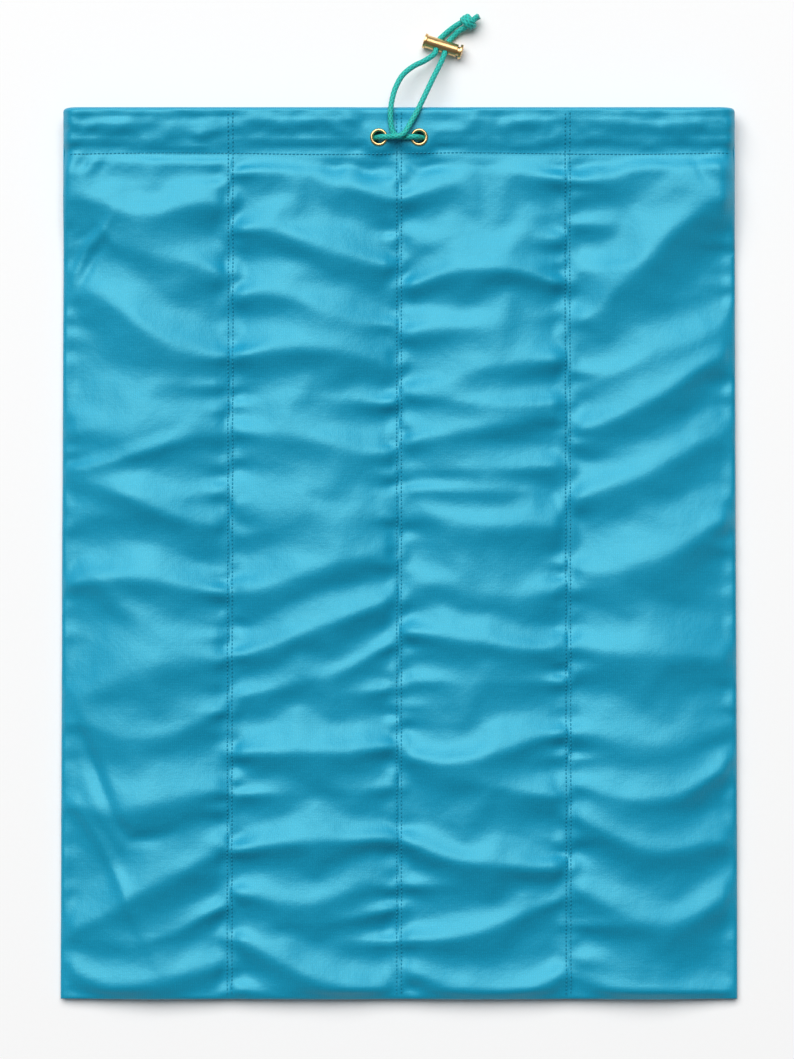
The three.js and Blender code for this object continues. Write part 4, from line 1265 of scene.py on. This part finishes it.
class POUCH_OT_stitching(bpy.types.Operator):
    """Twin rows of stitches down the panel seams and one row round the casing"""

    bl_idname = "pouch.stitching"
    bl_label = "Stitching"

    def execute(self, context):
        stitch = self.one_stitch()
        pitch = sizes().stitch_pitch
        for front in (True, False):
            word = "front" if front else "back"
            for seam in range(1, PANELS):
                middle = seam * PITCH - HALF_WIDTH
                places = []
                for side, lag in ((-1, 0.0), (1, 0.3 * pitch)):
                    x = middle + side * sizes().row_gap / 2
                    for y in np.arange(-HALF_LENGTH + 3 * MM, HALF_LENGTH - 3 * MM, pitch):
                        places.append((x, y + lag, False))
                self.row(f"thread_{word}_seam_{seam}", stitch, places, front)
            places = []
            for x in np.arange(-HALF_WIDTH + 4 * MM, HALF_WIDTH - 4 * MM, pitch):
                places.append((x, STITCH_LINE + 0.4 * MM * math.sin(x / (21 * MM)), True))
            self.row(f"thread_{word}_casing", stitch, places, front)
        bpy.data.objects.remove(stitch)
        return {"FINISHED"}

    def one_stitch(self):
        """A stitch lying along Y, thick in the middle and sunk at its ends."""
        clear_selection()
        bpy.ops.mesh.primitive_cylinder_add(
            vertices=6, radius=STITCH_RADIUS, depth=STITCH_BODY, end_fill_type="NGON",
            rotation=(math.pi / 2, 0, 0),
        )
        stitch = bpy.context.object
        bpy.ops.object.transform_apply(location=True, rotation=True, scale=True)
        bpy.ops.object.mode_set(mode="EDIT")
        for end in (-1, 1):
            bpy.ops.mesh.select_all(action="DESELECT")
            shape = bmesh.from_edit_mesh(stitch.data)
            for face in shape.faces:
                face.select = abs(face.normal.y - end) < 0.01
            bmesh.update_edit_mesh(stitch.data)
            sunk = (0, end * STITCH_END, -STITCH_SINK)
            bpy.ops.mesh.extrude_region_move(TRANSFORM_OT_translate={"value": sunk})
            bpy.ops.transform.resize(value=(STITCH_TAPER, 1.0, STITCH_TAPER))
        bpy.ops.object.mode_set(mode="OBJECT")
        return stitch

    def row(self, name, stitch, places, front):
        """Copies the stitch to each place, laid on the cloth."""
        shape = np.zeros(len(stitch.data.vertices) * 3)
        stitch.data.vertices.foreach_get("co", shape)
        shape = shape.reshape(-1, 3) + (0, 0, STITCH_LIFT)
        outlines = [tuple(p.vertices) for p in stitch.data.polygons]
        vertices, faces = [], []
        for x, y, crosswise in places:
            here, along, across = surface_place(front, x, y)
            if crosswise:
                along, across = across, -along
            up = np.cross(across, along)
            up = up if (up[2] > 0) == front else -up
            side = np.cross(along, up)
            first = len(vertices)
            vertices.extend((here + shape @ np.array((side, along, up))).tolist())
            faces.extend(tuple(first + v for v in outline) for outline in outlines)
        piece = new_piece(name, vertices, faces)
        shade(piece, named_material("Sewing thread", thread), 70)
        dress(piece, "pouch", None)


class POUCH_OT_eyelets(bpy.types.Operator):
    """Two brass eyelets and the washers behind them"""

    bl_idname = "pouch.eyelets"
    bl_label = "Eyelets"

    def execute(self, context):
        crown = [
            (3.275 + 0.725 * math.cos(a), 0.1 + 0.75 * math.sin(a)) for a in np.linspace(0, math.pi, 15)
        ]
        throat = [(2.55, -0.4), (2.9, -1.1), (3.35, -1.1), (3.35, -0.9), (2.9, -0.9), (2.9, 0.1)]
        for side, sign in (("left", -1), ("right", 1)):
            centre = (sign * EYELET_X, CORD_LINE, BRIM)
            profile = crown + throat + crown[:1]
            piece = turned(f"brass_eyelet_{side}", profile, centre, (0, 0, 1), (1, 0, 0))
            shade(piece, named_material("Polished brass", brass), 40)
            dress(piece, "pouch", "brass", f"eyelet_{side}")
            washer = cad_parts[f"eyelet_washer_{side}"]
            washer.data.materials.clear()
            washer.data.materials.append(named_material("Polished brass", brass))
        return {"FINISHED"}


class POUCH_OT_cord_lock(bpy.types.Operator):
    """Brass barrel lock: drilled sleeve, plunger with its button, and the spring inside"""

    bl_idname = "pouch.cord_lock"
    bl_label = "Cord lock"

    def execute(self, context):
        sleeve = self.barrel("brass_lock_sleeve", self.sleeve_profile())
        for x in (-LOCK_HOLE, LOCK_HOLE):
            self.drill(sleeve, x, x)
        self.place(sleeve)
        dress(sleeve, "cord_lock", "brass", "lock_sleeve")
        plunger = self.barrel("brass_lock_plunger", self.plunger_profile())
        # Slots 3.7 mm long, from these places along the barrel
        for start in (-3.55, 0.65):
            self.drill(plunger, (start + 1.5) * MM, (start + 2.2) * MM)
        self.place(plunger)
        dress(plunger, "plunger", "brass", "lock_plunger")
        self.spring()
        return {"FINISHED"}

    def barrel(self, name, profile):
        """A piece turned about X."""
        return turned(name, profile, (0, 0, 0), (1, 0, 0), (0, 0, 1), 72)

    def sleeve_profile(self):
        """Flanged closed end, barrel and bore, in mm."""
        ends = [(0.0, -8.55)]
        ends += arc((3.15, -8.3), 0.25, -90, 0, 4) + arc((3.15, -7.6), 0.25, 0, 90, 4)
        ends += arc((3.1, -7.15), 0.2, -90, -180, 3)
        ends += arc((2.65, 6.9), 0.25, 0, 90, 4)
        return ends + [(2.2, 7.15), (2.2, -7.55), (0.0, -7.55)]

    def plunger_profile(self):
        """Stem with a rounded end, and the domed button, in mm."""
        ends = [(0.0, -4.5)]
        ends += arc((1.8, -4.25), 0.25, -90, 0, 3)
        ends += [(2.05, 8.15)]
        ends += arc((3.15, 8.4), 0.25, -90, 0, 4) + arc((3.0, 8.95), 0.4, 0, 80, 5)
        return ends + [(2.0, 9.52), (1.0, 9.62), (0.0, 9.65)]

    def drill(self, piece, start, end):
        """Cuts a round hole, or a slot from start to end, through a turned piece across its axis."""
        clear_selection()
        bpy.ops.mesh.primitive_cylinder_add(
            vertices=32, radius=LOCK_BORE, depth=9 * MM, location=(start, 0, 0), rotation=(math.pi / 2, 0, 0)
        )
        tool = bpy.context.object
        bpy.ops.object.transform_apply(location=True, rotation=True, scale=True)
        for vertex in tool.data.vertices:
            if vertex.co.x > start + 0.01 * MM:
                vertex.co.x += end - start
        cut(piece, tool)

    def place(self, piece):
        """Puts a piece made along X where the lock lies."""
        piece.matrix_world = LOCK_PLACE
        make_active(piece)
        bpy.ops.object.transform_apply(location=True, rotation=True, scale=True)
        shade(piece, named_material("Polished brass", brass), 40)

    def spring(self):
        """Coil between the bore's end and the plunger, pressed as the plunger goes in."""
        points = []
        for t in np.linspace(0, 1, 97):
            angle = 2 * math.pi * SPRING_TURNS * t
            across, up = SPRING_RADIUS * math.cos(angle), SPRING_RADIUS * math.sin(angle)
            points.append(tuple(LOCK_PLACE @ Vector((SPRING_START + SPRING_LENGTH * t, across, up))))
        coil = cord_tube("lock_coil", [np.array(points)], SPRING_WIRE, 10, 2)
        shade(coil, named_material("Spring steel", spring_steel), 60)
        dress(coil, "cord_lock", "spring_steel", "lock_spring")
        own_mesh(coil)


class POUCH_PT_panel(bpy.types.Panel):
    """Lists the pouch's sizes, colours and pieces"""

    bl_idname = "POUCH_PT_panel"
    bl_label = "Drawstring Pouch"
    bl_space_type = "VIEW_3D"
    bl_region_type = "UI"
    bl_category = "Pouch"

    def draw(self, context):
        for group in (context.scene.pouch_sizes, context.scene.pouch_colours):
            column = self.layout.column()
            for name in group.__annotations__:
                column.prop(group, name)
        for operator in OPERATORS:
            self.layout.operator(operator.bl_idname)


OPERATORS = (
    POUCH_OT_stage,
    POUCH_OT_cord,
    POUCH_OT_satin,
    POUCH_OT_stitching,
    POUCH_OT_eyelets,
    POUCH_OT_cord_lock,
)
CLASSES = (PouchSizes, PouchColours) + OPERATORS + (POUCH_PT_panel,)


def register():
    for item in CLASSES:
        bpy.utils.register_class(item)
    bpy.types.Scene.pouch_sizes = bpy.props.PointerProperty(type=PouchSizes)
    bpy.types.Scene.pouch_colours = bpy.props.PointerProperty(type=PouchColours)


def unregister():
    del bpy.types.Scene.pouch_colours
    del bpy.types.Scene.pouch_sizes
    for item in reversed(CLASSES):
        bpy.utils.unregister_class(item)


def main():
    register()
    bpy.ops.pouch.stage()
    bpy.ops.pouch.cord()
    bpy.ops.pouch.satin()
    bpy.ops.pouch.stitching()
    bpy.ops.pouch.eyelets()
    bpy.ops.pouch.cord_lock()


if __name__ == "__main__":
    main()
